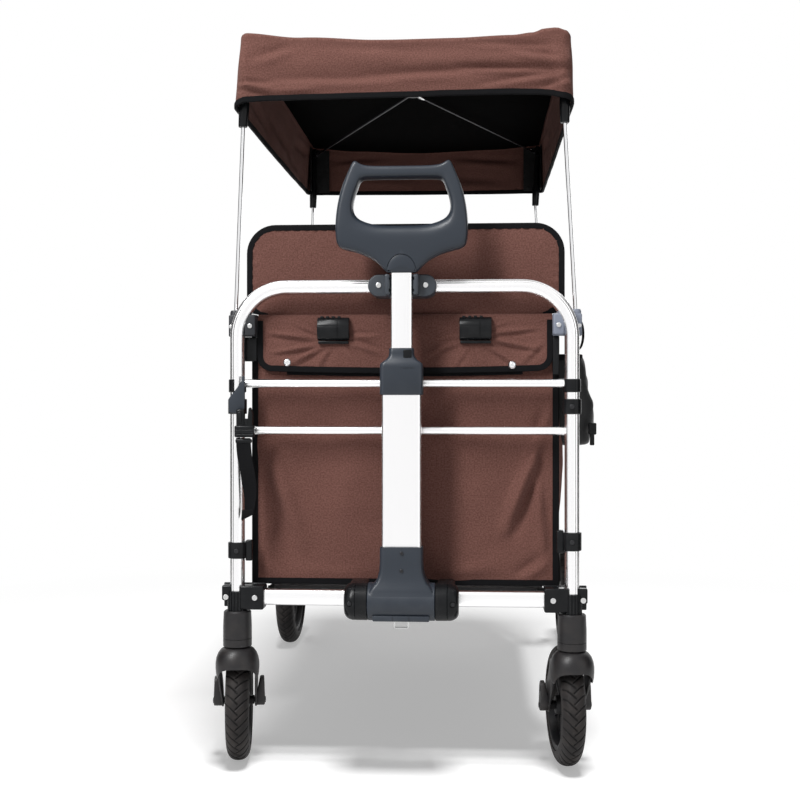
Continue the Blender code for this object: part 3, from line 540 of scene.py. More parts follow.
def makePlastic(name):
    tint, rough, scale, wear, dust, gloss = plastic[name]
    material, tree, shader = newMaterial(name + "Plastic", rough, **{"Specular IOR Level": gloss})
    place = placeOn(tree)
    shaded = placed(tree, "mottle", {"Place": place, "Scale": 9.0, "Amount": 0.25, "Color": tint})
    worn = placed(tree, "edgeWear", {"Place": place, "Amount": wear})
    rubbed = blendColours(tree, worn["Mask"], shaded["Color"], colour(*[0.04 + 1.5 * c for c in tint[:3]]))
    if dust:
        dirt = placed(tree, "dust", {"Place": place, "Amount": dust})
        rubbed = blendColours(tree, dirt["Mask"], rubbed, colour(0.085, 0.07, 0.06))
    tree.links.new(rubbed, shader.inputs["Base Color"])
    grained(tree, shader, place, scale, rough, 0.00008, 0.6)
    return material


metal = {  # colour, roughness, spread of the roughness
    "aluminium": ((0.95, 0.945, 0.95), 0.25, 0.08),
    "chrome": ((0.8, 0.8, 0.81), 0.08, 0.04),
    "zinc": ((0.62, 0.62, 0.62), 0.3, 0.2),
    "burnished": ((0.045, 0.045, 0.048), 0.35, 0.2),
}
alongAxis = {"X": (0.4, 16, 16), "Y": (16, 0.4, 16), "Z": (16, 16, 0.4), "": (8, 8, 8)}


def makeMetal(name, along):
    tint, rough, spread = metal[name]
    material, tree, shader = newMaterial(name + along, rough, 1.0)
    place = placeOn(tree, alongAxis[along])
    lines = placed(tree, "drawn", {"Place": place, "Scale": 60.0, "Rough": rough, "Spread": spread})
    tree.links.new(scaledColour(tree, tint, lines["Shade"]), shader.inputs["Base Color"])
    tree.links.new(lines["Roughness"], shader.inputs["Roughness"])
    bumped(tree, shader, lines["Height"], 0.00002, 0.25)
    return material


# the groove colour is painted shade: the tread's grooves are coloured near black
rubber = {
    "colour": colour(0.017, 0.015, 0.015), "groove": colour(0.002, 0.002, 0.002),
    "dust": colour(0.05, 0.042, 0.038), "rough": 0.62,
}


def makeRubber():
    material, tree, shader = newMaterial("tyreRubber", rubber["rough"], **{"Specular IOR Level": 0.2})
    place = placeOn(tree)
    shaded = placed(tree, "mottle", {"Place": place, "Scale": 25.0, "Amount": 0.5, "Color": rubber["colour"]})
    dirt = placed(tree, "dust", {"Place": place, "Amount": 0.6})
    dusted = blendColours(tree, dirt["Mask"], shaded["Color"], rubber["dust"])
    # painted shade: where the tyre's mesh marks a groove, the colour goes to the near black groove colour
    grooves = wired(tree, "Attribute", attribute_name="groove").outputs["Fac"]
    tree.links.new(blendColours(tree, grooves, dusted, rubber["groove"]), shader.inputs["Base Color"])
    grained(tree, shader, place, 1400.0, rubber["rough"], 0.00015, 0.7)
    return material


board = {"colour": colour(0.02, 0.019, 0.02), "rough": 0.62, "grain": 350.0}


def makeBoard():
    material, tree, shader = newMaterial("floorBoard", board["rough"])
    place = placeOn(tree)
    shaded = placed(tree, "mottle", {"Place": place, "Scale": 6.0, "Amount": 0.5, "Color": board["colour"]})
    tree.links.new(shaded["Color"], shader.inputs["Base Color"])
    grained(tree, shader, place, board["grain"], board["rough"], 0.0004, 0.8)
    return material


finishes = {name: makeCloth(name) for name in cloth}
finishes.update({name: makePlastic(name) for name in plastic})
finishes.update({name + along: makeMetal(name, along) for name in metal for along in alongAxis})
finishes.update(rubber=makeRubber(), board=makeBoard())
print("finishes made:", len(finishes))


# names, smooths, paints and carries a finished piece
def settle(obj, name, finish, nodes=(), angle=35, body="front_frame"):
    choose(obj)
    placeNow()
    bpy.ops.object.shade_smooth_by_angle(angle=radians(angle))
    obj.name = name
    obj.data.name = name
    if "shells" in obj:
        del obj["shells"]
    obj.data.materials.clear()
    obj.data.materials.append(finishes[finish])
    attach(obj, body)
    if nodes:
        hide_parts(*nodes)
    dropSelection()
    return obj


def keepNode(node, finish):  # a CAD node whose shape stays, with a better finish
    obj = frame["nodes"][node]
    obj.data.materials.clear()
    obj.data.materials.append(finishes[finish])


# stage: camera, lamps, floor and backdrop

camera = {"place": (0.1062, -2.3031, 0.5545), "turn": 3.54, "lens": 54.27, "sensor": 36.0}
lamps = {  # each lights the object, or only the floor under it
    "key": {"place": (-1.85, -3.1, 3.7), "aim": (0, -0.45, 0.55), "size": 0.8, "tall": 3.0, "power": 235},
    "fill": {"place": (2.8, -2.6, 1.4), "aim": (0, -0.45, 0.55), "size": 3.0, "power": 8},
    "top": {"place": (0.1, -1.2, 3.6), "aim": (0, -0.2, 0), "size": 1.4, "power": 30},
    "back": {"place": (0.4, 3.6, 2.4), "aim": (0, 0, 0.6), "size": 2.6, "power": 45},
    "wash": {"place": (0.35, -2.0, 5.9), "aim": (0, 0.1, 0), "size": 1.3, "power": 380, "floorOnly": True},
}
floor = {"size": 40.0, "colour": colour(0.72, 0.72, 0.72), "lift": 0.36, "fade": (1.2, 1.9)}
cards = {"x": 1.9, "y": (-1.0, 0.8), "height": 2.4}  # dark cards beside the object that only metal mirrors
sky = {"strength": 0.18}


def makeLamp(name, values, ground):
    bpy.ops.object.light_add(type="AREA", location=values["place"])
    lamp = bpy.context.object
    lamp.name = name + "_lamp"
    lamp.rotation_euler = (Vector(values["aim"]) - lamp.location).to_track_quat("-Z", "Y").to_euler()
    lamp.data.shape = "RECTANGLE"
    lamp.data.size, lamp.data.size_y = values["size"], values.get("tall", values["size"])
    lamp.data.energy = values["power"]
    lamp.visible_camera = False
    lamp.visible_glossy = name not in ("top", "wash")
    receivers = bpy.data.collections.new(name + "_receivers")
    receivers.objects.link(ground)
    lamp.light_linking.receiver_collection = receivers
    if "floorOnly" not in values:
        receivers.collection_objects[0].light_linking.link_state = "EXCLUDE"


def seenRays(tree):  # the rays that show the backdrop: what the camera sees, and what metal and glass show
    rays = wired(tree, "LightPath").outputs
    clear = maths(tree, "MAXIMUM", rays["Is Camera Ray"], rays["Is Glossy Ray"])
    return maths(tree, "MAXIMUM", clear, rays["Is Transmission Ray"])


def makeGround():
    bpy.ops.mesh.primitive_plane_add(size=floor["size"], location=(0, 0, -0.0005))
    ground = bpy.context.object
    ground.name = "studio_floor"
    material = bpy.data.materials.new("studioFloor")
    material.use_nodes = True
    tree = material.node_tree
    tree.nodes.clear()
    seen = seenRays(tree)
    pale = wired(tree, "BsdfDiffuse", {"Color": floor["colour"]}).outputs[0]
    lift = wired(tree, "Emission", {"Strength": maths(tree, "MULTIPLY", seen, floor["lift"])}).outputs[0]
    near = wired(tree, "AddShader", {0: pale, 1: lift}).outputs[0]
    white = wired(tree, "Emission", {"Strength": 1.0}).outputs[0]
    place = wired(tree, "TexCoord").outputs["Object"]
    away = wired(tree, "VectorMath", {0: place}, operation="LENGTH").outputs["Value"]
    start, stop = floor["fade"]
    faded = wired(
        tree, "MapRange", {0: away, 1: start, 2: stop, 3: 0.0, 4: 1.0}, interpolation_type="SMOOTHSTEP"
    ).outputs[0]
    both = wired(tree, "MixShader", {0: maths(tree, "MULTIPLY", seen, faded), 1: near, 2: white}).outputs[0]
    wired(tree, "OutputMaterial", {"Surface": both})
    ground.data.materials.append(material)
    return ground


def makeCard(label):
    dropSelection()
    start, stop = cards["y"]
    bpy.ops.mesh.primitive_plane_add(
        size=1, location=(sides[label] * cards["x"], (start + stop) / 2, cards["height"] / 2),
        rotation=(0, pi / 2, 0),
    )
    card = bpy.context.object
    card.scale = (cards["height"], stop - start, 1)
    placeNow()
    card.name = "studio_card_" + label
    material, _, shader = newMaterial("studioCard", 0.9, **{"Specular IOR Level": 0.0})
    shader.inputs["Base Color"].default_value = colour(0.01, 0.01, 0.01)
    card.data.materials.append(material)
    card.visible_camera = card.visible_diffuse = card.visible_shadow = card.visible_transmission = False


def makeStage():
    bpy.ops.object.camera_add(location=camera["place"], rotation=(pi / 2, 0, radians(camera["turn"])))
    eye = bpy.context.object
    eye.data.lens = camera["lens"]
    eye.data.sensor_width = camera["sensor"]
    bpy.context.scene.camera = eye
    dropSelection()
    ground = makeGround()
    for name, values in lamps.items():
        makeLamp(name, values, ground)
    for label in sides:
        makeCard(label)
    world = bpy.data.worlds.new("studioSky")
    bpy.context.scene.world = world
    world.use_nodes = True
    tree = world.node_tree
    tree.nodes.clear()
    soft = wired(tree, "Background", {"Color": colour(1, 1, 1), "Strength": sky["strength"]}).outputs[0]
    white = wired(tree, "Background", {"Color": colour(1, 1, 1), "Strength": 1.0}).outputs[0]
    seen = seenRays(tree)
    wired(tree, "OutputWorld", {"Surface": wired(tree, "MixShader", {0: seen, 1: soft, 2: white}).outputs[0]})
    bpy.context.scene.view_settings.view_transform = "Standard"
    print("stage set")


makeStage()


# tubes of both end frames

hoop = {"bend": 0.075, "turns": 14, "sides": 48, "grooves": (28, 52), "grooveDepth": 0.0006}


def makeHoop(end):
    y, _, body = ends[end]
    bendX, bendZ = legX - hoop["bend"], hoopTop - hoop["bend"]
    dropSelection()
    bpy.ops.mesh.primitive_circle_add(
        vertices=hoop["sides"], radius=hoopRadius, location=(-legX, y, hoopFoot), fill_type="NOTHING"
    )
    tube = placeNow()
    for vertex in tube.data.vertices:  # two fine grooves down the outer front of the drawn tube
        around = degrees(atan2(-(vertex.co.x + legX), -(vertex.co.y - y) * ends[end][1]))
        if min(abs(around - groove) for groove in hoop["grooves"]) < 180 / hoop["sides"]:
            shrink = 1 - hoop["grooveDepth"] / hoopRadius
            vertex.co.x = -legX + (vertex.co.x + legX) * shrink
            vertex.co.y = y + (vertex.co.y - y) * shrink
    startEdit(tube)
    bpy.ops.mesh.extrude_region_move(TRANSFORM_OT_translate={"value": (0, 0, bendZ - hoopFoot)})
    for centreX, run in ((-bendX, (2 * bendX, 0, 0)), (bendX, (0, 0, hoopFoot - bendZ))):
        bpy.ops.mesh.spin(
            steps=hoop["turns"], angle=-pi / 2, center=(centreX, y, bendZ), axis=(0, 1, 0)
        )
        bpy.ops.mesh.extrude_region_move(TRANSFORM_OT_translate={"value": run})
    for foot in (-1, 1):
        pick(tube, lambda at, along: abs(at.z - hoopFoot) < 1e-4 and at.x * foot > 0, "EDGE")
        bpy.ops.mesh.edge_face_add()
    endEdit()
    outwards(tube)
    return settle(tube, end + "_hoop_tube", "aluminiumZ", [end + "_hoop"], body=body)


def makeCrossTubes():
    for node in ("front_upper_cross_tube", "front_lower_cross_tube", "rear_upper_cross_tube"):
        low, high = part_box(node)
        reach, (_, y, z) = legX - hoopRadius + 0.0015, (low + high) / 2
        tube = bar((-reach, y, z), (reach, y, z), (high.z - low.z) / 2, 32)
        settle(tube, node + "_round", "aluminiumX", [node], body=ends[node.split("_")[0]][2])
    for end, (_, _, body) in ends.items():
        node = end + "_bottom_rail"
        low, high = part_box(node)
        _, y, z = (low + high) / 2
        rail = plate(roundedBox((y, z), high.y - low.y, high.z - low.z, 0.006), "X", low.x, high.x)
        settle(rail, node + "_oval", "aluminiumX", [node], body=body)
        node = end + "_rim_rod"
        low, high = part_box(node)
        _, y, z = (low + high) / 2
        rod = bar((low.x, y, z), (high.x, y, z), (high.z - low.z) / 2, 20, 0.0006)
        settle(rod, node + "_round", "zincX", [node], body=body)


for endName in ends:
    makeHoop(endName)
makeCrossTubes()
print("tubes made")

# screws: one head is modelled, then copied and scaled to each place given

screw = {"height": 0.002, "cross": 0.32, "crossDepth": 0.0009}
fasteners = {}


def screwHead(at, radius, facing=(0, -1, 0), body="front_frame", finish="zinc"):
    if "model" not in screw:
        head = turned(bar((0, 0, 0), (0, 0, screw["height"]), 1.0, 20), (0, 0, 0), size=(0.004, 0.004, 1))
        soften(head, 0.0007, 2, 50)
        slot = 0.004 * screw["cross"]
        top = (screw["height"] - screw["crossDepth"], screw["height"] + 0.001)
        for wide, long in ((slot / 2, slot * 2), (slot * 2, slot / 2)):
            carve(head, block((-wide, -long, top[0]), (wide, long, top[1])))
        head.hide_render = True
        screw["model"] = head
    head = copyOf(screw["model"])
    head.hide_render = False
    size = (radius / 0.004, radius / 0.004, 1)
    turned(head, Vector(facing).to_track_quat("Z", "Y").to_euler(), at, size)
    fasteners.setdefault((body, finish), []).append(head)


def gatherScrews():
    bpy.data.objects.remove(screw.pop("model"), do_unlink=True)
    for (body, finish), heads in fasteners.items():
        group = together(*heads) if len(heads) > 1 else heads[0]
        settle(group, f"screws_{finish}_{body}", finish, body=body)


# mouldings at the feet of the front legs

corner = {
    "sleeve": 0.015, "tooth": 0.0011, "teeth": 20, "sleeveZ": (0.2375, 0.268),
    "blockX": (0.2085, 0.2445), "blockHalf": 0.0135, "blockZ": (0.241, 0.277),
    "earX": (0.2555, 0.2725), "earHalf": 0.0082, "earZ": (0.254, 0.2765),
    "housing": 0.0215, "housingTop": 0.0206, "housingZ": (0.1846, 0.2385),
    "screwX": (0.2215, 0.266), "screwZ": 0.2592,
}


def toothedRing(x):
    outline = []
    for tooth in range(corner["teeth"]):
        for share, cut in ((0.0, 0.0), (0.42, 0.0), (0.5, corner["tooth"]), (0.92, corner["tooth"])):
            angle, radius = tau * (tooth + share) / corner["teeth"], corner["sleeve"] - cut
            outline.append((x + radius * cos(angle), frontY + radius * sin(angle)))
    return plate(outline, "Z", *corner["sleeveZ"])


def lugWithPin(side, end, *rounding):  # what the folding floor turns on, at both ends
    lug = brick(side, end, (0.2125, 0.2265), (0.01, 0.047), (0.252, 0.272), 0.003)
    y = behind(end, 0.04)
    return lug, bar((side * 0.22, y, 0.262), (side * 0.1985, y, 0.262), 0.004, 24, *rounding)


def makeFrontCorner(label):
    side, half, earHalf = sides[label], corner["blockHalf"], corner["earHalf"]
    x = side * legX
    parts = [
        toothedRing(x),
        brick(side, "front", corner["blockX"], (-half, half), corner["blockZ"], 0.003),
        brick(side, "front", corner["earX"], (-earHalf, earHalf), corner["earZ"], 0.0025),
        brick(side, "front", (corner["blockX"][0], corner["earX"][1]), (0.0095, half), (0.242, 0.2785),
              0.0016),
        *lugWithPin(side, "front", 0.0006),
    ]
    bore = bar((x, frontY, corner["sleeveZ"][0] + 0.002), (x, frontY, 0.3), hoopRadius + 0.0004, 40)
    settle(carve(together(*parts), bore), "corner_clamp_" + label, "black", ["front_corner_bracket_" + label])
    radius, topRadius, (low, high) = corner["housing"], corner["housingTop"], corner["housingZ"]
    shape = [
        (0.007, low), (radius - 0.0012, low), (radius, low + 0.0012), (radius, low + 0.0118),
        (radius - 0.0006, low + 0.0122), (radius, low + 0.0126), (radius, low + 0.03),
        (topRadius, high - 0.002), (topRadius - 0.002, high), (0.007, high),
    ]
    settle(lathe(shape, (x, frontY, 0), "Z", 56), "castor_housing_" + label, "dusty")
    for away, front in zip(corner["screwX"], (half, earHalf)):
        screwHead((side * away, frontY - front + 0.0004, corner["screwZ"]), 0.0042)


# clamps on the front legs, and the brackets behind all legs that carry the rim rods and the canopy poles

clamp = {"band": 0.0131, "collar": 0.0141, "seam": 0.0012, "screw": 0.0034}


def splitRing(x, y, low, high, radius, seamAt):  # a tube clamp with a narrow seam down its front
    inner, seam = hoopRadius + 0.0004, clamp["seam"] / 2
    shape = [(inner, low), (radius - 0.0008, low), (radius, low + 0.0008), (radius, high - 0.0008),
             (radius - 0.0008, high), (inner, high)]
    front = y - radius
    slit = block((x + seamAt - seam, front - 0.001, low - 0.001),
                 (x + seamAt + seam, front + 0.0012, high + 0.001))
    return carve(lathe(shape, (x, y, 0), "Z", 56), slit)


def makeLegClamps(label):
    side = sides[label]
    x = side * legX
    joint = splitRing(x, frontY, 0.566, 0.5855, clamp["band"], 0.004)
    if label == "left":  # the strap's buckle sits in this band's opening
        carve(joint, block((x - 0.004, frontY - 0.016, 0.56), (x + 0.016, frontY - 0.001, 0.59)))
    collar = splitRing(x, frontY, 0.5336, 0.556, clamp["collar"], 0.0062)
    strap = block((x - 0.004, frontY + 0.0113, 0.55), (x + 0.004, frontY + 0.0135, 0.572), 0.0006)
    settle(together(joint, collar, strap), "leg_joint_" + label, "black", ["front_leg_joint_" + label])
    node = "front_lower_collar_" + label
    low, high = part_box(node)[0].z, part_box(node)[1].z
    ring = splitRing(x, frontY, low, high, clamp["collar"], -side * 0.0062)
    tab = brick(side, "front", (0.2275, 0.2375), (-0.004, 0.009), (low - 0.004, high + 0.003), 0.002)
    settle(together(ring, tab), "lower_collar_" + label, "black", [node])
    for height in ((0.556 + 0.5336) / 2, (low + high) / 2):
        screwHead((x - side * 0.001, frontY - clamp["collar"] + 0.0002, height), clamp["screw"],
                  finish="burnished")


rim = {"z": (0.6504, 0.6834), "outer": 0.266, "inner": 0.222, "front": -0.006, "screwX": 0.2302,
       "screwZ": 0.6655,
       "trim": {"left": ((0.2235, 0.2425), 0.613), "right": ((0.2225, 0.2325), 0.592)}}


def makeRimBracket(end, label):
    side, (y, way, body), (low, high) = sides[label], ends[end], rim["z"]
    x, inner, front = side * legX, rim["inner"], rim["front"]
    wall = brick(side, end, (inner, rim["outer"]), (0.0113, 0.021), (low, high), 0.002)
    cheek = brick(side, end, (inner, 0.2385), (front, 0.013), (low + 0.0005, high - 0.0005), 0.003, 4)
    lug = brick(side, end, (0.2215, 0.2292), (0.018, 0.046), (0.659, 0.675), 0.002)
    pinY = behind(end, 0.04)
    pin = bar((side * 0.225, pinY, 0.667), (side * 0.215, pinY, 0.667), 0.0035, 20)
    shape = [(0.0034, low + 0.002), (0.007, low), (0.008, low + 0.001), (0.008, high + 0.004),
             (0.0066, 0.6905),
             (0.0034, 0.6905)]
    holder = lathe(shape, (side * 0.2575, behind(end, 0.022), 0), "Z", 32)
    bore = bar((x, y, 0.6), (x, y, 0.72), hoopRadius + 0.0004, 40)
    bracket = carve(together(wall, cheek, lug, pin), bore)
    # the front left holder takes the darker copy of grey, as painted shade
    finish = "paintedShadeGrey" if (end, label) == ("front", "left") else "grey"
    settle(together(bracket, holder), f"{end}_rim_holder_{label}", finish, [f"{end}_rim_bracket_{label}"],
           body=body)
    if end == "front":
        across, foot = rim["trim"][label]
        strip = brick(side, end, across, (0.0135, 0.02), (foot, low - 0.0005), 0.0015)
        settle(strip, "rim_trim_" + label, "black", body=body)
    screwHead((side * rim["screwX"], behind(end, front + 0.0004), rim["screwZ"]), 0.0036,
              facing=(0, -way, 0), body=body)
    screwHead((side * 0.262, behind(end, 0.0115), rim["screwZ"]), 0.003, facing=(0, -way, 0), body=body)


# clip on the front hoop that holds the pull handle upright

clip = {"half": 0.0505, "z": (0.7065, 0.7388), "depth": (-0.032, 0.0145), "jaw": (0.017, 0.025),
        "screwX": 0.0345}


def makeClip():
    low, high = clip["z"]
    middle, radius = (low + high) / 2, (high - low) / 2
    reach = clip["half"] - radius
    outline = arc((reach, middle), radius, -90, 90, 16) + arc((-reach, middle), radius, 90, 270, 16)
    front, back = frontY + clip["depth"][0], frontY + clip["depth"][1]
    shell = plate(outline, "Y", front, back, 0.0022, 3, 50)
    parts, (inner, outer) = [], clip["jaw"]
    for side in sides.values():
        jaw = brick(side, "front", (inner, outer), (-0.048, -0.028), (low + 0.0006, high - 0.0006), 0.0032, 5)
        for level in (middle - 0.0085, middle + 0.0085):  # ribs that grip the tube
            heights = (level - 0.0022, level + 0.0022)
            carve(jaw, brick(side, "front", (inner - 0.001, inner + 0.0016), (-0.05, -0.03), heights))
        parts.append(jaw)
        screwHead((side * clip["screwX"], front + 0.0004, middle + 0.0002), 0.004)
    slot = brick(1, "front", (-0.0163, 0.0163), (-0.06, -0.0318), (0.7, 0.75))
    bore = bar((-0.08, frontY, hoopTop), (0.08, frontY, hoopTop), hoopRadius + 0.0004, 40)
    shell = together(carve(shell, slot, bore), *parts)
    # the clip's lighter charcoal is a painted highlight
    settle(shell, "handle_clip_shell", "charcoalPaintedHighlight", ["handle_clip"])


# pivot of the pull handle on the bottom rail

knuckle = {"radius": 0.0275, "inner": 0.0496, "seam": 0.0668, "outer": 0.0837, "groove": 0.0007,
           "screwX": 0.0745}


def makePivot():
    radius, inner, seam, outer = (knuckle[key] for key in ("radius", "inner", "seam", "outer"))
    shape = [(0.0, inner), (radius - 0.0006, inner), (radius, inner + 0.0006), (radius, seam - 0.0006),
             (radius - knuckle["groove"], seam), (radius - 0.0002, seam + 0.0006)]
    for step in range(1, 8):
        angle = pi / 2 * step / 8
        along = seam + 0.0012 + (outer - seam - 0.0015) * sin(angle)
        shape.append((radius - 0.011 * (1 - cos(angle)), along))
    shape += [(0.0165, outer - 0.0003), (0.0, outer)]
    for label, side in sides.items():
        cap = lathe([(r, side * along) for r, along in shape], (0, handleY, handlePivotZ), "X", 56)
        shoe = block(
            (side * (inner + 0.001), handleY + 0.004, handlePivotZ - radius + 0.001),
            (side * (outer - 0.006), frontY + 0.0125, handlePivotZ + radius - 0.001), 0.005, 4,
        )
        seat = Vector((side * knuckle["screwX"], handleY - 0.023, handlePivotZ))
        carve(cap, bar(seat - Vector((0, 0.0132, 0)), seat, 0.0042, 24))
        nodes = ["handle_pivot_bracket"] if label == "left" else ()
        settle(together(cap, shoe), "pivot_knuckle_" + label, "black", nodes)
        screwHead(seat, 0.0033, finish="burnished")
    pin = bar((-0.07, handleY, handlePivotZ), (0.07, handleY, handlePivotZ), 0.005, 24)
    settle(pin, "pivot_pin", "zincX")


# the pull handle

handle = {
    "boot": [
        (0.3405, 0.0308, 0.0175), (0.337, 0.0312, 0.018), (0.318, 0.0312, 0.0182), (0.306, 0.032, 0.0187),
        (0.297, 0.0345, 0.0197), (0.2895, 0.0385, 0.0212), (0.2835, 0.0436, 0.023), (0.278, 0.0474, 0.0243),
        (0.27, 0.0486, 0.0255), (0.256, 0.0486, 0.0262),
    ],
    "collar": [
        (0.5618, 0.0303, 0.0152), (0.563, 0.0313, 0.016), (0.6035, 0.0313, 0.016), (0.6075, 0.0303, 0.0156),
        (0.6105, 0.0268, 0.0143), (0.6135, 0.0224, 0.0126), (0.6175, 0.0192, 0.0111),
        (0.6225, 0.0181, 0.0106),
        (0.629, 0.018, 0.0105), (0.63, 0.0174, 0.01),
    ],
    "loopHalf": 0.01, "loopLow": 0.2236, "loopWire": 0.0011, "screwRadius": 0.0026,
}


def loft(levels, y, corner=0.007, crown=0.0):  # rounded boxes at each height, bridged and capped
    rings = []
    for index, (z, halfWidth, halfDepth) in enumerate(levels):
        outline = roundedBox((0, y), 2 * halfWidth, 2 * halfDepth, min(corner, halfDepth * 0.9))
        dropSelection()
        bpy.ops.mesh.primitive_circle_add(vertices=len(outline), radius=1)
        ring = bpy.context.object
        for vertex, (px, py) in zip(ring.data.vertices, outline):
            lift = crown * (1 - (px / halfWidth) ** 2) if index == 0 else 0
            vertex.co = (px, py, z + lift)
        rings.append(ring)
    skin = together(*rings)
    startEdit(skin)
    bpy.ops.mesh.bridge_edge_loops()
    for z, _, _ in (levels[0], levels[-1]):
        pick(skin, lambda at, along: abs(at.z - z) < 0.0001 + crown and abs(along.z) < 0.9, "EDGE")
        bpy.ops.mesh.edge_face_add()
    endEdit()
    return outwards(skin)


def makeHandleBase():
    radius = knuckle["radius"]
    shape = mirrored([(0.0054, -0.049), (radius - 0.001, -0.049), (radius, -0.048)])
    barrel = lathe(shape, (0, handleY, handlePivotZ), "X", 64)
    boot = loft(handle["boot"], handleY, crown=0.0022)
    base = fuse(barrel, boot)
    carve(base, block((-0.0293, handleY - 0.0133, 0.2947), (0.0293, handleY + 0.0133, 0.36)))
    lip = block((-0.041, handleY - 0.024, 0.235), (0.041, handleY - 0.006, 0.2432), 0.0012, 2)
    for x in (-0.012, 0.012):
        carve(lip, block((x - 0.0006, handleY - 0.03, 0.234), (x + 0.0006, handleY - 0.0228, 0.244)))
    settle(together(base, lip), "handle_boot", "charcoal", ["handle_base"], body="handle")
    half, low, top, bend = handle["loopHalf"], handle["loopLow"], handlePivotZ - radius + 0.004, 0.0022
    line = [(-half, top)] + arc((-half + bend, low + bend), bend, 180, 270, 5)
    line += arc((half - bend, low + bend), bend, 270, 360, 5) + [(half, top)]
    loop = wire([(x, handleY - 0.008, z) for x, z in line], handle["loopWire"])
    settle(loop, "handle_wire_loop", "zinc", body="handle")
    for x, depth, z in ((0.001, 0.0179, 0.333), (0.0006, 0.0184, 0.3078)):
        screwHead((x, handleY - depth, z), handle["screwRadius"], body="handle", finish="burnished")


def hollowTube(node, rounding, wall, shorter=0.0):
    low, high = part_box(node)
    high.z -= shorter
    outer = roundedBox((0, handleY), high.x - low.x, high.y - low.y, rounding)
    tube = plate(outer, "Z", low.z, high.z)
    startEdit(tube)
    pick(tube, lambda at, normal: abs(normal.z) > 0.9)
    bpy.ops.mesh.delete(type="FACE")
    endEdit()
    shell = tube.modifiers.new("wall", "SOLIDIFY")
    shell.thickness = wall
    shell.offset = -1
    shell.use_even_offset = True
    applyModifiers(tube)
    return outwards(tube)


def makeHandleTubes():
    settle(hollowTube("handle_outer_tube", 0.0058, 0.0022), "outer_tube", "aluminiumZ",
           ["handle_outer_tube"], 30, body="handle")
    settle(hollowTube("handle_inner_tube", 0.0042, 0.0015, 0.0055), "inner_tube", "aluminiumZ",
           ["handle_inner_tube"], 30, body="handle_slide")
    collar = loft(handle["collar"], handleY, corner=0.0062)
    carve(collar, block((-0.0293, handleY - 0.0133, 0.55), (0.0293, handleY + 0.0133, 0.6003)))
    carve(collar, block((-0.01615, handleY - 0.00815, 0.59), (0.01615, handleY + 0.00815, 0.64)))
    carve(collar, block((0.0005, handleY - 0.018, 0.6003), (0.019, handleY - 0.015, 0.6012)))
    settle(collar, "lock_collar", "charcoal", ["handle_lock_collar"], body="handle")
    catch = block((0.003, handleY - 0.0122, 0.615), (0.015, handleY - 0.0095, 0.6275), 0.0012, 3)
    settle(catch, "lock_collar_catch", "black", body="handle")


grip = {
    "pairs": [  # in millimetres: outer X and Z, inner X and Z of the right half, from the top down
        (0, 895.5, 0, 877.1), (29, 895.5, 27, 877.1), (54.5, 896, 50.5, 877), (64, 901, 57, 876.2),
        (70.2, 906, 61.4, 872.2), (77, 891, 64, 864), (85, 872.2, 67.2, 855.5), (90.2, 857, 69.2, 848),
        (94.2, 838.5, 70.8, 840.5), (96.4, 820.9, 71.2, 833.5), (97.2, 801, 69.4, 826.2),
        (95.5, 783, 64, 819.8), (90.5, 775.2, 58.5, 816.8), (72, 771.8, 52, 814.1), (52, 765, 44, 811.7),
        (38, 757, 35, 810.1), (27.8, 747, 26, 809.4), (22.5, 740, 19, 809.2), (12, 738.8, 10, 809.1),
        (0, 738.8, 0, 809.1),
    ],
    "half": 0.016, "lowFace": 0.01, "bendZ": 0.806, "bottomZ": 0.7388, "wideChamfer": 0.0135,
    "chamfer": 0.0042,
    "buttonHalf": 0.0215, "buttonLow": 0.7405, "buttonHeight": 0.0258, "gap": 0.0003, "proud": 0.0005,
}


def gripFace(z):  # how far the front of the grip stands before its middle plane
    if z >= grip["bendZ"]:
        return grip["half"] - 0.03 * (z - grip["bendZ"])
    share = min(1.0, (grip["bendZ"] - z) / (grip["bendZ"] - grip["bottomZ"]))
    return grip["half"] - (grip["half"] - grip["lowFace"]) * share ** 1.35


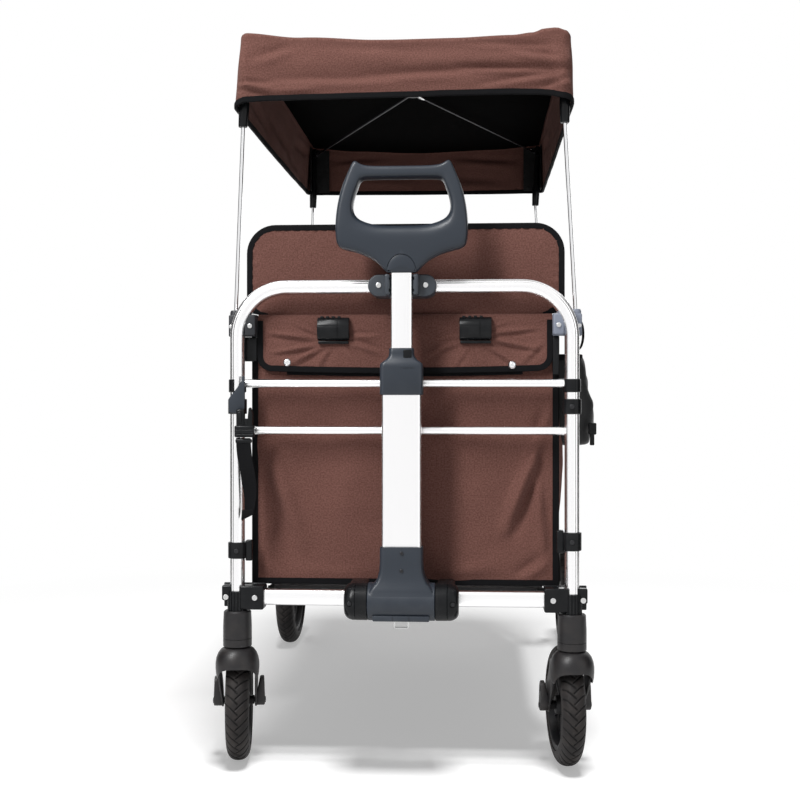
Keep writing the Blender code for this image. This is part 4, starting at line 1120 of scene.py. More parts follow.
def makeGrip():
    right = [[value / 1000 for value in pair] for pair in grip["pairs"]]
    ring = right + [(-a, b, -c, d) for a, b, c, d in reversed(right[1:-1])]
    section = 14
    dropSelection()
    bpy.ops.mesh.primitive_torus_add(
        major_segments=len(ring), minor_segments=section, major_radius=0.08, minor_radius=0.02
    )
    loop = bpy.context.object
    for index, vertex in enumerate(loop.data.vertices):
        pair = ring[index // section]
        outer, inner = Vector(pair[:2]), Vector(pair[2:])
        width = (outer - inner).length
        away = (outer - inner) / width
        under = max(0.0, min(1.0, (0.83 - inner.y) / 0.016))
        chamfer = min(width * 0.45, grip["chamfer"] + (grip["wideChamfer"] - grip["chamfer"]) * under)
        edge = min(0.0055, width * 0.3)
        places = [  # (from the inner edge, share of the half depth), round the section
            (width, 0.25), (width, -0.45), (width - edge * 0.3, -0.86), (width - edge, -1.0),
            (width * 0.5 + chamfer * 0.3, -1.0), (chamfer, -1.0), (chamfer * 0.4, -0.72), (0.0, -0.3),
            (0.0, 0.35), (0.0012, 0.86), (0.0045, 1.0), (width * 0.5, 1.0), (width - edge, 1.0),
            (width - edge * 0.2, 0.8),
        ]
        fromInner, depth = places[index % section]
        flat = inner + away * fromInner
        reach = gripFace(flat.y) if depth < 0 else grip["half"]
        vertex.co = (flat.x, handleY + depth * reach, flat.y)
    rounder = loop.modifiers.new("round", "SUBSURF")
    rounder.levels = 2
    rounder.render_levels = 2
    applyModifiers(loop)
    outwards(loop)
    gap, low, half, height = grip["gap"], grip["buttonLow"], grip["buttonHalf"], grip["buttonHeight"]
    hollow = [((half + gap) * x, low + (height + gap) * z) for x, z in arc((0, 0), 1, 0, 180, 24)]
    hollow[0], hollow[-1] = (hollow[0][0], low - 0.02), (hollow[-1][0], low - 0.02)
    carve(loop, plate(hollow, "Y", handleY - 0.03, handleY - 0.0042))
    carve(loop, block((-0.01605, handleY - 0.00805, 0.73), (0.01605, handleY + 0.00805, 0.7455)))
    settle(loop, "grip_loop", "charcoal", ["handle_grip"], 40, body="handle_slide")
    outline = [(half * x, low + height * z) for x, z in arc((0, 0), 1, 0, 180, 28)]
    button = plate(outline, "Y", handleY - 0.016, handleY - 0.0066)
    startEdit(button)
    pick(button, lambda at, normal: normal.y < -0.9)
    bpy.ops.mesh.inset(thickness=0.0016, depth=0)
    bpy.ops.mesh.inset(thickness=0.004, depth=0)
    bpy.ops.mesh.poke()
    bpy.ops.mesh.select_all(action="SELECT")
    endEdit()
    for vertex in button.data.vertices:
        if vertex.co.y < handleY - 0.012:
            edge = max(0.0, 1 - hypot(vertex.co.x / half, (vertex.co.z - low) / height) ** 6)
            vertex.co.y = handleY - gripFace(vertex.co.z) - grip["proud"] * edge + 0.0012 * (1 - edge)
    soften(button, 0.0006, 2, 50)
    settle(button, "grip_button", "charcoal", ["release_button"], 50, body="release_button")


# castors with their front wheels, and the rear wheels

castor = {
    "trail": 0.055, "axleZ": 0.09, "turn": {"left": 8, "right": 6.5}, "room": 0.096, "roomHalf": 0.0228,
    "dome": [
        (0.0, 0.1838), (0.0195, 0.1838), (0.0212, 0.183), (0.0252, 0.18), (0.0288, 0.1752), (0.0314, 0.1685),
        (0.0327, 0.161), (0.0328, 0.153), (0.0322, 0.145), (0.0312, 0.1395), (0.0298, 0.137), (0.0, 0.137),
    ],
    "mouth": [
        (-0.0284, 0.12), (-0.028, 0.141), (-0.0256, 0.147), (-0.0218, 0.1512), (-0.0165, 0.1536),
        (-0.008, 0.1548), (0.008, 0.1548), (0.0165, 0.1536), (0.0218, 0.1512), (0.0256, 0.147),
        (0.028, 0.141), (0.0284, 0.12),
    ],
    "nut": [(0.0, 0.0385), (0.0048, 0.0385), (0.0048, 0.0398), (0.004, 0.0406), (0.0, 0.0406)],
    "arm": (0.0262, 0.0296), "armFoot": (0.024, 0.0268), "armTop": 0.136, "pad": 0.0392,
}


def atCastor(obj, label):  # turns a piece built about the castor's stem into its place
    return turned(obj, (0, 0, radians(castor["turn"][label])), (sides[label] * legX, frontY, 0))


# an arm that leans in from the dome to the axle, and the pad that stands out beside it
def makeCastorSide(way):
    trail, axleZ = castor["trail"], castor["axleZ"]
    (inner, outer), (footInner, footOuter) = castor["arm"], castor["armFoot"]
    outline = [(-0.006, 0.168), (-0.008, 0.15), (0.014, 0.12), (0.038, 0.096)]
    outline += arc((trail, axleZ), 0.01, 205, 375, 12) + [(0.0635, 0.118), (0.03, 0.15), (0.02, 0.168)]
    arm = plate(outline, "X", way * inner, way * outer)
    for vertex in arm.data.vertices:
        share = min(1.0, max(0.0, (castor["armTop"] - vertex.co.z) / (castor["armTop"] - axleZ)))
        near, far = inner + (footInner - inner) * share, outer + (footOuter - outer) * share
        vertex.co.x = way * (near if abs(vertex.co.x) < (inner + outer) / 2 else far)
    soften(arm, 0.0008, 2, 50)
    shape = arc((trail, axleZ + 0.0015), 0.01, 180, 360, 12) + arc((trail, 0.118), 0.0095, 0, 180, 12)
    pad = plate(shape, "X", way * footInner, way * castor["pad"])
    for vertex in pad.data.vertices:
        rise = min(1.0, max(0.0, (vertex.co.z - axleZ - 0.004) / 0.03))
        if abs(vertex.co.x) < 0.03:
            vertex.co.x += way * 0.0078 * rise
        else:
            vertex.co.x -= way * 0.0012 * rise
    soften(pad, 0.0016, 3, 50)
    dent = plate(arc((trail, 0.115), 0.005, 0, 360, 20)[:-1], "X", way * (castor["pad"] - 0.0022), way * 0.05)
    return [arm, carve(pad, dent)]


def makeCastor(label):
    trail, axleZ = castor["trail"], castor["axleZ"]
    dome = lathe(castor["dome"], (0, 0, 0), "Z", 64)
    carve(dome, plate(castor["mouth"], "Y", -0.06, 0.06))
    room = bar((-castor["roomHalf"], trail, axleZ), (castor["roomHalf"], trail, axleZ), castor["room"], 72)
    carve(dome, room)
    fork = together(dome, *makeCastorSide(-1), *makeCastorSide(1))
    stem = bar((0, 0, 0.175), (0, 0, 0.222), 0.006, 24)
    atCastor(together(fork, stem), label)
    settle(bpy.context.object, "castor_dome_" + label, "dusty", ["castor_fork_" + label],
           body="castor_" + label)
    axle = bar((-0.0396, trail, axleZ), (0.0396, trail, axleZ), 0.0036, 24)
    for way in (-1, 1):
        nut = lathe([(r, way * along) for r, along in castor["nut"]], (0, trail, axleZ), "X",
                    6 if way < 0 else 28)
        axle = together(axle, nut)
    atCastor(axle, label)
    settle(axle, "castor_bolt_" + label, "burnished", ["castor_axle_" + label], body="castor_" + label)


tread = {"depth": 0.0017, "line": 0.0013, "pitch": 0.0157, "rise": 0.017, "past": 0.16}


def treadGroove(share, along, half):  # herringbone grooves: how deep, 0 to 1, at a share of the half width
    deepest, lean = 0.0, hypot(1.0, tread["rise"] / half)
    for side in (-1, 1):
        outward = side * share
        phase = (along + outward * tread["rise"] / tread["pitch"] + (0.5 if side > 0 else 0.0)) % 1.0
        near = min(phase, 1 - phase) * tread["pitch"] / lean
        ends = min(1.0, max(0.0, (outward + tread["past"]) / 0.06), max(0.0, (0.98 - outward) / 0.05))
        deepest = max(deepest, (1 - (near / tread["line"]) ** 2) * ends)
    return deepest


def makeTyre(radius, inner, half, turns):
    across, power = 46, 2.35
    shape = []
    for step in range(across + 1):
        share = cos(pi * step / across)
        shape.append((inner + (radius - inner) * (1 - abs(share) ** power) ** (1 / power), half * share))
    shape += [(inner - 0.0002, -half * 0.55), (inner - 0.0002, half * 0.55)]
    tyre = lathe(shape, (0, 0, 0), "X", turns)
    repeats = round(tau * radius / tread["pitch"])
    # how deep each point lies in a groove, kept for the painted shade in the grooves
    grooveShade = tyre.data.attributes.new("groove", "FLOAT", "POINT")
    for vertex, mark in zip(tyre.data.vertices, grooveShade.data):
        x, y, z = vertex.co
        far = hypot(y, z)
        fade = min(1.0, max(0.0, (far - inner) / (radius - inner) - 0.42) / 0.12)
        if not fade:
            continue
        depth = treadGroove(x / half, atan2(z, y) / tau * repeats, half) * fade
        if depth:
            mark.value = min(1.0, 1.5 * depth)
            pull = 1 - tread["depth"] * depth / far
            vertex.co.y, vertex.co.z = y * pull, z * pull
    return tyre


def makeWheel(outer, rimInner, rimHalf, hub, hubHalf, windowAt, window):
    web = lathe(mirrored([(0.004, 0.004), (rimInner + 0.001, 0.004)]), (0, 0, 0), "X", 72)
    holes = []
    for index in range(6):
        angle = tau * index / 6
        y, z = windowAt * cos(angle), windowAt * sin(angle)
        holes.append(bar((-0.02, y, z), (0.02, y, z), window, 36))
    carve(web, together(*holes))
    soften(web, 0.0014, 2, 50)
    rimShape = mirrored([
        (outer, rimHalf), (outer - 0.0015, rimHalf + 0.0006), (rimInner + 0.0012, rimHalf),
        (rimInner, rimHalf - 0.0012), (rimInner - 0.0012, 0.0052),
    ])
    hubShape = mirrored([
        (0.0044, -hubHalf), (0.006, -hubHalf), (0.0068, 0.0008 - hubHalf), (0.0068, -rimHalf - 0.0006),
        (hub, -rimHalf + 0.0012), (hub + 0.003, -0.006),
    ])
    parts = [web, lathe(rimShape, (0, 0, 0), "X", 96), lathe(hubShape, (0, 0, 0), "X", 48)]
    for index in range(6):  # a rib on each spoke, both faces
        rib = block((-0.0068, hub + 0.0005, -0.0016), (0.0068, rimInner - 0.0005, 0.0016), 0.0009, 2)
        parts.append(turned(rib, (tau * (index + 0.5) / 6, 0, 0)))
    return together(*parts)


wheelSizes = {
    "front": {
        "wheel": (0.0677, 0.06, 0.016, 0.013, 0.0233, 0.0385, 0.0138), "tyre": (0.09, 0.068, 0.0181, 560),
    },
    "rear": {
        "wheel": (0.0997, 0.091, 0.0155, 0.0175, 0.024, 0.056, 0.019), "tyre": (0.125, 0.1, 0.02, 720),
    },
}
hubCap = [(0.0, 0.0225), (0.0162, 0.0225), (0.0162, 0.0265), (0.0135, 0.0287), (0.006, 0.0292), (0.0, 0.0292)]


def makeWheels():
    for end, sizes in wheelSizes.items():
        wheelModel, tyreModel = makeWheel(*sizes["wheel"]), makeTyre(*sizes["tyre"])
        for label, side in sides.items():
            centre = middleOf(f"{end}_tyre_{label}")
            centre.z = sizes["tyre"][0]
            turn = radians(castor["turn"][label]) if end == "front" else 0
            wheel, tyre = copyOf(wheelModel), copyOf(tyreModel)
            if end == "rear":
                cap = lathe([(r, side * along) for r, along in hubCap], (0, 0, 0), "X", 40)
                wheel = together(wheel, cap)
            for piece in (wheel, tyre):
                turned(piece, (0, 0, turn), centre)
            body = f"{end}_wheel_{label}"
            settle(wheel, f"{end}_rim_{label}", "wheel", [body], body=body)
            settle(tyre, f"{end}_tread_{label}", "rubber", [f"{end}_tyre_{label}"], 50, body=body)
        for model in (wheelModel, tyreModel):
            bpy.data.objects.remove(model, do_unlink=True)


rearArm = {"x": (0.266, 0.284), "axleX": (0.275, 0.3375), "top": 0.25, "axleDepth": -0.095, "axleZ": 0.125}


def makeRearCorner(label):
    side, top = sides[label], rearArm["top"]
    axleY, axleZ = behind("rear", rearArm["axleDepth"]), rearArm["axleZ"]
    x, armX, axleX = side * legX, [side * a for a in rearArm["x"]], [side * a for a in rearArm["axleX"]]
    shape = [(0.008, 0.232), (0.0132, 0.232), (0.0142, 0.2335), (0.015, 0.25), (0.015, 0.2665),
             (0.0142, 0.268),
             (0.008, 0.268)]
    sleeve = lathe(shape, (x, rearY, 0), "Z", 48)
    clampBlock = brick(side, "rear", (0.2085, 0.245), (-0.0135, 0.0135), (0.2415, 0.2765), 0.003)
    link = brick(side, "rear", (0.255, 0.27), (-0.01, 0.01), (0.238, 0.2635), 0.002)
    slope = degrees(atan2(top - axleZ, axleY - rearY))
    outline = arc((rearY, top), 0.013, 90 - slope, 270 - slope, 14)
    outline += arc((axleY, axleZ), 0.017, 270 - slope, 450 - slope, 18)
    arm = plate(outline, "X", *armX, 0.0025, 3, 50)
    rest = together(sleeve, clampBlock, *lugWithPin(side, "rear"), link, arm)
    carve(rest, bar((x, rearY, 0.2415), (x, rearY, 0.3), hoopRadius + 0.0004, 40))
    settle(rest, "rear_arm_" + label, "black", ["rear_wheel_bracket_" + label], body="rear_frame")
    axle = bar((axleX[0], axleY, axleZ), (axleX[1], axleY, axleZ), 0.005, 24)
    settle(axle, "rear_stub_axle_" + label, "zincX", body="rear_frame")
    screwHead((side * 0.2215, rearY + 0.0131, 0.259), 0.0042, facing=(0, 1, 0), body="rear_frame")
    screwHead((armX[0] + side * 0.0005, axleY, axleZ), 0.008, facing=(-side, 0, 0), body="rear_frame")


# folding floor and side rails keep the CAD's shapes and pivots, with new finishes


def makeFloor():
    for end in ends:
        keepNode("floor_" + end, "board")
    for end in ends:
        for label in sides:
            keepNode(f"side_rail_{end}_{label}", "aluminiumY")


for sideName in sides:
    makeFrontCorner(sideName)
    makeLegClamps(sideName)
    makeCastor(sideName)
    makeRearCorner(sideName)
    for endName in ends:
        makeRimBracket(endName, sideName)
print("mouldings and castors made")
makeClip()
makePivot()
makeHandleBase()
makeHandleTubes()
makeGrip()
print("pull handle made")
makeWheels()
makeFloor()
print("wheels made")

# cloth: nets of points with a flat map in metres, and tapes swept along their edges


def lengths(line, closed=False):
    total = [0.0]
    for first, second in zip(line, line[1:] + line[:1] if closed else line[1:]):
        total.append(total[-1] + (second - first).length)
    return total


def surface(rows, roundRows=False, roundColumns=False, flat=None, caps=False):
    height, width = len(rows), len(rows[0])
    if flat is None:
        along = lengths([row[width // 2] for row in rows], roundRows)
        across = [lengths(row, roundColumns) for row in rows]
        flat = [[(u, along[i]) for u in across[i % height]] for i in range(len(along))]
    net = bmesh.new()
    layer = net.loops.layers.uv.new("flat")
    points = [[net.verts.new(place) for place in row] for row in rows]
    for i in range(height if roundRows else height - 1):
        for j in range(width if roundColumns else width - 1):
            corners = ((i, j), (i, j + 1), (i + 1, j + 1), (i + 1, j))
            face = net.faces.new([points[a % height][b % width] for a, b in corners])
            for loop, (a, b) in zip(face.loops, corners):
                loop[layer].uv = flat[a][b]
    if caps:
        net.faces.new(points[0])
        net.faces.new(points[-1])
    bmesh.ops.recalc_face_normals(net, faces=net.faces)
    mesh = bpy.data.meshes.new("cloth")
    net.to_mesh(mesh)
    net.free()
    obj = bpy.data.objects.new("cloth", mesh)
    bpy.context.scene.collection.objects.link(obj)
    return obj


def thicken(obj, thickness):
    wall = obj.modifiers.new("thickness", "SOLIDIFY")
    wall.thickness = thickness
    wall.offset = 0
    applyModifiers(obj)
    startEdit(obj)
    bpy.ops.mesh.normals_make_consistent(inside=False)
    endEdit()
    return obj


def tape(path, inwards, through, width, thickness, closed=False):  # a folded binding over a cloth's edge
    half, lip = thickness / 2, 0.0012
    section = [(-lip, -half * 0.5), (-lip * 0.4, -half), (width * 0.5, -half * 1.08), (width, -half)]
    section += [(width, half), (width * 0.5, half * 1.08), (-lip * 0.4, half), (-lip, half * 0.5)]
    rows = [
        [Vector(place) + inward * a + outward * b for a, b in section]
        for place, inward, outward in zip(path, inwards, through)
    ]
    return surface(rows, roundRows=closed, roundColumns=True, caps=not closed)


def lineAt(table, x):  # a smooth line through the places of a table
    if x <= table[0][0]:
        return table[0][1]
    for (x1, y1), (x2, y2) in zip(table, table[1:]):
        if x <= x2:
            t = (x - x1) / (x2 - x1)
            return y1 + (y2 - y1) * t * t * (3 - 2 * t)
    return table[-1][1]


def creases(a, b, folds, strength=1.0, keen=1.0):  # ridges with a hollow beside each
    lift = 0.0
    for fold in folds:  # in millimetres: from a and b, to a and b, height and width
        a1, b1, a2, b2, height, width = (value / 1000 for value in fold)
        width *= keen
        da, db = a2 - a1, b2 - b1
        span = hypot(da, db)
        t = ((a - a1) * da + (b - b1) * db) / span ** 2
        side = ((a - a1) * db - (b - b1) * da) / span
        beyond = max(0.0, -t, t - 1) * span
        body = exp(-(side / width) ** 2) - 0.7 * exp(-((side - 1.7 * width) / width) ** 2)
        swell = 0.4 + 0.6 * sin(pi * min(1.0, max(0.0, t)))
        lift += height * body * swell * exp(-(beyond / (1.5 * width)) ** 2)
    return lift * strength


def ripple(a, b, size, height, seed=0.0):
    return height * noise.noise(Vector((a / size, b / size, seed)))


# fabric at both ends of the tub: a padded tall panel, a flap over the rim rod and a stretched panel below it

tall = {
    "half": 0.2405, "lowHalf": 0.2135, "corner": 0.043, "top": 0.8208, "low": 0.6, "waist": (0.6835, 0.69),
    "depth": 0.033, "edge": 0.0016, "fill": 0.003, "binding": 0.0078,
}
flap = {
    "half": 0.222, "corner": 0.022, "low": 0.599, "sag": 0.0035, "binding": 0.008, "depth": 0.0165,
    "strength": 1.15, "keen": 0.62,
    "folds": [
        (-200, 656, -140, 648, 3.2, 6), (-175, 675, -134, 656, 2.4, 4), (-195, 627, -135, 637, 3, 5.2),
        (-170, 611, -127, 633, 3.4, 5), (-130, 606, -113, 632, 2.8, 4.5), (-155, 680, -131, 664, 1.8, 3),
        (-40, 627, -80, 640, 3, 6.2), (-42, 650, -79, 650, 2, 6), (-64, 608, -91, 633, 2.6, 4.8),
        (37, 625, 79, 640, 3.2, 6), (48, 648, 80, 650, 1.8, 5), (76, 607, 95, 632, 2.4, 4.4),
        (133, 665, 172, 676, 2.4, 4), (135, 655, 198, 662, 2.8, 5.2), (134, 645, 198, 632, 3.4, 5.6),
        (128, 635, 168, 610, 3.2, 4.8), (111, 632, 121, 606, 2.4, 4.2), (178, 612, 206, 640, 2.4, 6),
    ],
}
lowerPanel = {
    "half": {"front": 0.231, "rear": 0.212}, "low": 0.276, "high": 0.648, "depth": 0.0245, "binding": 0.008,
    "folds": [
        (-202, 470, -155, 343, 5, 13), (-223, 550, -215, 300, 3.2, 9), (-215, 570, -170, 490, 2, 18),
        (154, 364, 199, 484, 9, 9.5), (213, 305, 195.5, 473, 4, 7.5), (219, 540, 207, 500, 4, 6),
        (216, 310, 175, 280, 3, 8), (-220, 320, -190, 280, 2.4, 8), (85, 570, 118, 360, 2, 26),
        (-60, 560, -90, 370, 2, 30), (70, 290, 140, 305, 1.6, 12), (-150, 295, -70, 285, 1.6, 12),
    ],
}


def tallHalf(z):
    low, high = tall["waist"]
    share = min(1.0, max(0.0, (z - low) / (high - low)))
    half = tall["lowHalf"] + (tall["half"] - tall["lowHalf"]) * share * share * (3 - 2 * share)
    above = z - (tall["top"] - tall["corner"])
    if above > 0:
        half -= tall["corner"] - sqrt(max(0.0, tall["corner"] ** 2 - above ** 2))
    return half


def flapHalf(z):
    above = flap["low"] + flap["corner"] - z
    cut = flap["corner"] - sqrt(max(0.0, flap["corner"] ** 2 - above ** 2)) if above > 0 else 0.0
    return flap["half"] - cut


# a tape along a flat edge
def bind(name, body, edge, middle, width, thickness, across=(0, 1, 0), closed=False):
    across, inwards = Vector(across), []
    for index, place in enumerate(edge):
        before = edge[index - 1] if closed else edge[max(0, index - 1)]
        after = edge[(index + 1) % len(edge)] if closed else edge[min(len(edge) - 1, index + 1)]
        inward = (after - before).cross(across).normalized()
        inwards.append(inward if inward.dot(Vector(middle) - place) > 0 else -inward)
    binding = tape(edge, inwards, [across] * len(edge), width, thickness, closed)
    return settle(binding, name, "blackTape", angle=40, body=body)


def bindTub(end, name, edge, height, width, thickness):
    return bind(f"{end}_{name}_binding", ends[end][2], edge, (0, behind(end, 0.02), height), width, thickness)


def levels(low, high, cornerLow, cornerHigh, count, fine):  # heights, closer together in the round corners
    heights = []
    if cornerLow:
        heights += [low + cornerLow * (1 - cos(pi / 2 * i / fine)) for i in range(fine)]
    start, stop = low + cornerLow, high - cornerHigh
    heights += [start + (stop - start) * i / count for i in range(count + 1)]
    if cornerHigh:
        heights += [high - cornerHigh * (1 - sin(pi / 2 * i / fine)) for i in range(1, fine + 1)]
    return heights


def spread(half, columns):  # places from side to side
    return [half * (2 * column / columns - 1) for column in range(columns + 1)]


def makeTallPanel(end):
    body, columns, depth, top = ends[end][2], 96, tall["depth"], tall["top"]
    heights = levels(tall["low"], top, 0, tall["corner"], 40, 12)
    front, back = [], []
    for z in heights:
        half = tallHalf(z)
        rows = ([], [])
        for x in spread(half, columns):
            near = min(half - abs(x), top - z, z - tall["low"])
            puff = tall["edge"] + tall["fill"] * (1 - exp(-max(0.0, near) / 0.016))
            along = x if top - z < half - abs(x) else z
            pucker = 0.0011 * sin(along * 430 + 3 * noise.noise(Vector((along * 30, 0, 0))))
            pucker *= exp(-max(0.0, near - 0.008) / 0.007) if near > 0.002 else 0
            wave = ripple(x, z, 0.075, 0.0014, 3.0) * min(1.0, near / 0.03)
            rows[0].append(Vector((x, behind(end, depth - puff - wave - pucker), z)))
            rows[1].append(Vector((x, behind(end, depth + puff - wave + pucker), z)))
        front.append(rows[0])
        back.append(rows[1][::-1])
    loops = [first + second for first, second in zip(front, back)]
    pad = surface(loops, roundColumns=True, caps=True, flat=[
        [(p.x if p in first else p.x + 1.0, p.z) for p in first + second] + [(first[0].x + 1.0, first[0].z)]
        for first, second in zip(front, back)
    ])
    settle(pad, end + "_tall_pad", "brownCanvas", ["front_tall_panel" if end == "front" else "rear_panel"],
           60, body=body)
    upper = [z for z in heights if z > tall["waist"][0] - 0.012]
    edge = [Vector((-tallHalf(z), behind(end, depth), z)) for z in upper]
    edge += [Vector((x, behind(end, depth), top)) for x in spread(tallHalf(top), 40)[1:-1]]
    edge += [Vector((-place.x, place.y, place.z)) for place in reversed(edge[:len(upper)])]
    bindTub(end, "tall", edge, 0.7, tall["binding"], 2 * tall["edge"] + 0.004)


def makeFlap(end):
    body, columns, high = ends[end][2], 110, middleOf(end + "_rim_rod").z + 0.0075
    over = [(0.0285, -0.0135), (0.029, -0.0015), (0.0275, 0.005), (0.0245, 0.0088), (0.021, 0.009),
            (0.018, 0.0055)]
    folds = flap["folds"] if end == "front" else [(-a, b, -c, *rest) for a, b, c, *rest in flap["folds"]]
    rows = [[Vector((x, behind(end, depth), high + rise)) for x in spread(flap["half"], columns)]
            for depth, rise in over]
    for z in reversed(levels(flap["low"], high, flap["corner"], 0, 44, 12)):
        half, hang, row = flapHalf(z), min(1.0, (high - z) / 0.02), []
        for x in spread(half, columns):
            lift = creases(x, z, folds, flap["strength"], flap["keen"]) + ripple(x, z, 0.05, 0.003, 9.0)
            drop = flap["sag"] * (1 - (x / half) ** 2) * min(1.0, max(0.0, (0.64 - z) / 0.04))
            row.append(Vector((x, behind(end, flap["depth"] - lift * hang), z - drop)))
        rows.append(row)
    total = lengths([row[columns // 2] for row in rows])
    flatRows = [[(place.x, -length) for place in row] for row, length in zip(rows, total)]
    cloth = thicken(surface(rows, flat=flatRows), 0.0013)
    settle(cloth, end + "_flap", "brownCanvas", angle=60, body=body)
    hanging = rows[len(over):]
    edge = [row[0] for row in hanging] + hanging[-1][1:-1] + [row[-1] for row in reversed(hanging)]
    bindTub(end, "flap", edge, 0.66, flap["binding"], 0.0032)
    # a black tape just below and behind the flap's binding: a painted shadow under the flap's edge
    under = [place + Vector((0, ends[end][1] * 0.0045, -0.0042)) for place in hanging[-1][6:-6]]
    bindTub(end, "under", under, 0.66, 0.0075, 0.003)


def makeLowerPanel(end):
    half, low, high = lowerPanel["half"][end], lowerPanel["low"], lowerPanel["high"]
    way, count = 1 if end == "front" else -1, 110
    rows = []
    for step in range(count + 1):
        z, row = low + (high - low) * step / count, []
        for x in spread(half, 130):
            near = min(1.0, (half - abs(x)) / 0.03) * min(1.0, (z - low) / 0.02)
            lift = creases(way * x, z, lowerPanel["folds"], 1.5)
            lift += ripple(x, z, 0.12, 0.0034, 5.0) + ripple(x, z, 0.035, 0.0012)
            row.append(Vector((x, behind(end, lowerPanel["depth"] - lift * near + 0.0015 * (1 - near)), z)))
        rows.append(row)
    cloth = thicken(surface(rows, flat=[[(place.x, place.z) for place in row] for row in rows]), 0.0013)
    settle(cloth, end + "_lower_panel", "brownCanvas", ["front_panel"] if end == "front" else (), 60,
           body=ends[end][2])
    edge = [row[0] for row in reversed(rows)] + rows[0][1:-1] + [row[-1] for row in rows]
    bindTub(end, "panel", edge, 0.5, lowerPanel["binding"], 0.0034)


strapBuckle = {
    "places": ((-0.1064, 0.6596), (0.1075, 0.6596)), "half": 0.024, "z": (-0.015, 0.019), "bulge": 0.0085,
}
snap = {"places": ((-0.177, 0.6115), (0.1622, 0.607)), "radius": 0.0062}


def makeFlapFittings(end):
    body, way, half, base = ends[end][2], ends[end][1], strapBuckle["half"], flap["depth"] + 0.004
    (low, high), bulge, radius = strapBuckle["z"], strapBuckle["bulge"], snap["radius"]
    buckles, domes = [], []
    for x, z in strapBuckle["places"]:
        # a block from shares of the half width and depths before the base
        def piece(shares, depths, heights, *rounding):
            (a, b), (c, d), (e, f) = shares, depths, heights
            return block((way * x + half * a, behind(end, base - c), z + e),
                         (way * x + half * b, behind(end, base - d), z + f), *rounding)

        outline = [(base, z + low), (base - 0.009, z + low)]
        outline += [
            (base - 0.009 - bulge * sin(pi * t / 10) ** 0.7, z + low + (high - low) * t / 10)
            for t in range(1, 10)
        ]
        outline += [(base - 0.009, z + high), (base, z + high)]
        shape = [(behind(end, depth), height) for depth, height in outline]
        shell = plate(shape, "X", way * x - half, way * x + half, 0.0009, 2, 50)
        for level in (-0.0035, 0.0055, 0.0125):  # ribs pressed across the face
            y = behind(end, base - 0.0182)
            carve(shell, bar((way * x - half - 0.001, y, z + level),
                             (way * x + half + 0.001, y, z + level), 0.0013, 12))
        line = 0.0006 / half
        carve(shell, piece((0.28 - line, 0.28 + line), (0.03, 0.0135), (low - 0.01, high + 0.01)))
        lip = piece((-0.96, 0.96), (0.0105, 0.001), (-0.0205, -0.0162), 0.001, 2)
        for at in (-0.45, 0.4):
            carve(lip, piece((at - 0.004 / half, at + 0.004 / half), (0.03, 0.0095), (-0.0194, -0.0178)))
        teeth = [piece((at - 0.1, at + 0.1), (0.011, 0.004), (high - 0.001, high + 0.0022), 0.0006, 2)
                 for at in (-0.72, -0.36, 0.0, 0.36)]
        webbing = piece((-0.8, 0.8), (0.004, 0.0022), (-0.026, high), 0.0006, 2)
        buckles += [shell, lip, webbing, *teeth]
    settle(together(*buckles), end + "_flap_buckles", "black", angle=40, body=body)
    shape = [(0.0, -0.001), (radius, -0.001), (radius, 0.0004), (radius * 0.93, 0.0013)]
    for angle in (10, 30, 50, 70):
        turn = radians(angle)
        shape.append((radius * cos(turn) * 0.86, 0.0012 + 0.0024 * sin(turn)))
    shape = [(r, -way * along) for r, along in shape + [(0.0, 0.0036)]]
    for x, z in snap["places"]:
        domes.append(lathe(shape, (way * x, behind(end, flap["depth"] - 0.0016), z), "Y", 36))
    settle(together(*domes), end + "_flap_snaps", "chrome", body=body)


for endName in ends:
    makeTallPanel(endName)
    makeFlap(endName)
    makeLowerPanel(endName)
    makeFlapFittings(endName)
print("end fabric made")


# side panels: stretched cloth between the side rails and the floor, with bound edges and a stitched seam

sidePanel = {
    "x": 0.2312, "low": 0.272, "high": 0.68, "start": 0.0275, "stop": 0.8325, "keep": 0.355,
    "binding": 0.011, "bulge": 0.0085,
    "folds": [
        (60, 600, 200, 360, 5, 20), (790, 600, 660, 360, 5, 20), (300, 640, 340, 340, 3, 30),
        (550, 620, 500, 330, 3, 30), (80, 340, 250, 300, 3.6, 12), (780, 330, 620, 300, 3.6, 12),
        (50, 520, 70, 400, 3, 8), (800, 500, 780, 380, 3, 8), (400, 500, 470, 420, 2.2, 20),
    ],
}


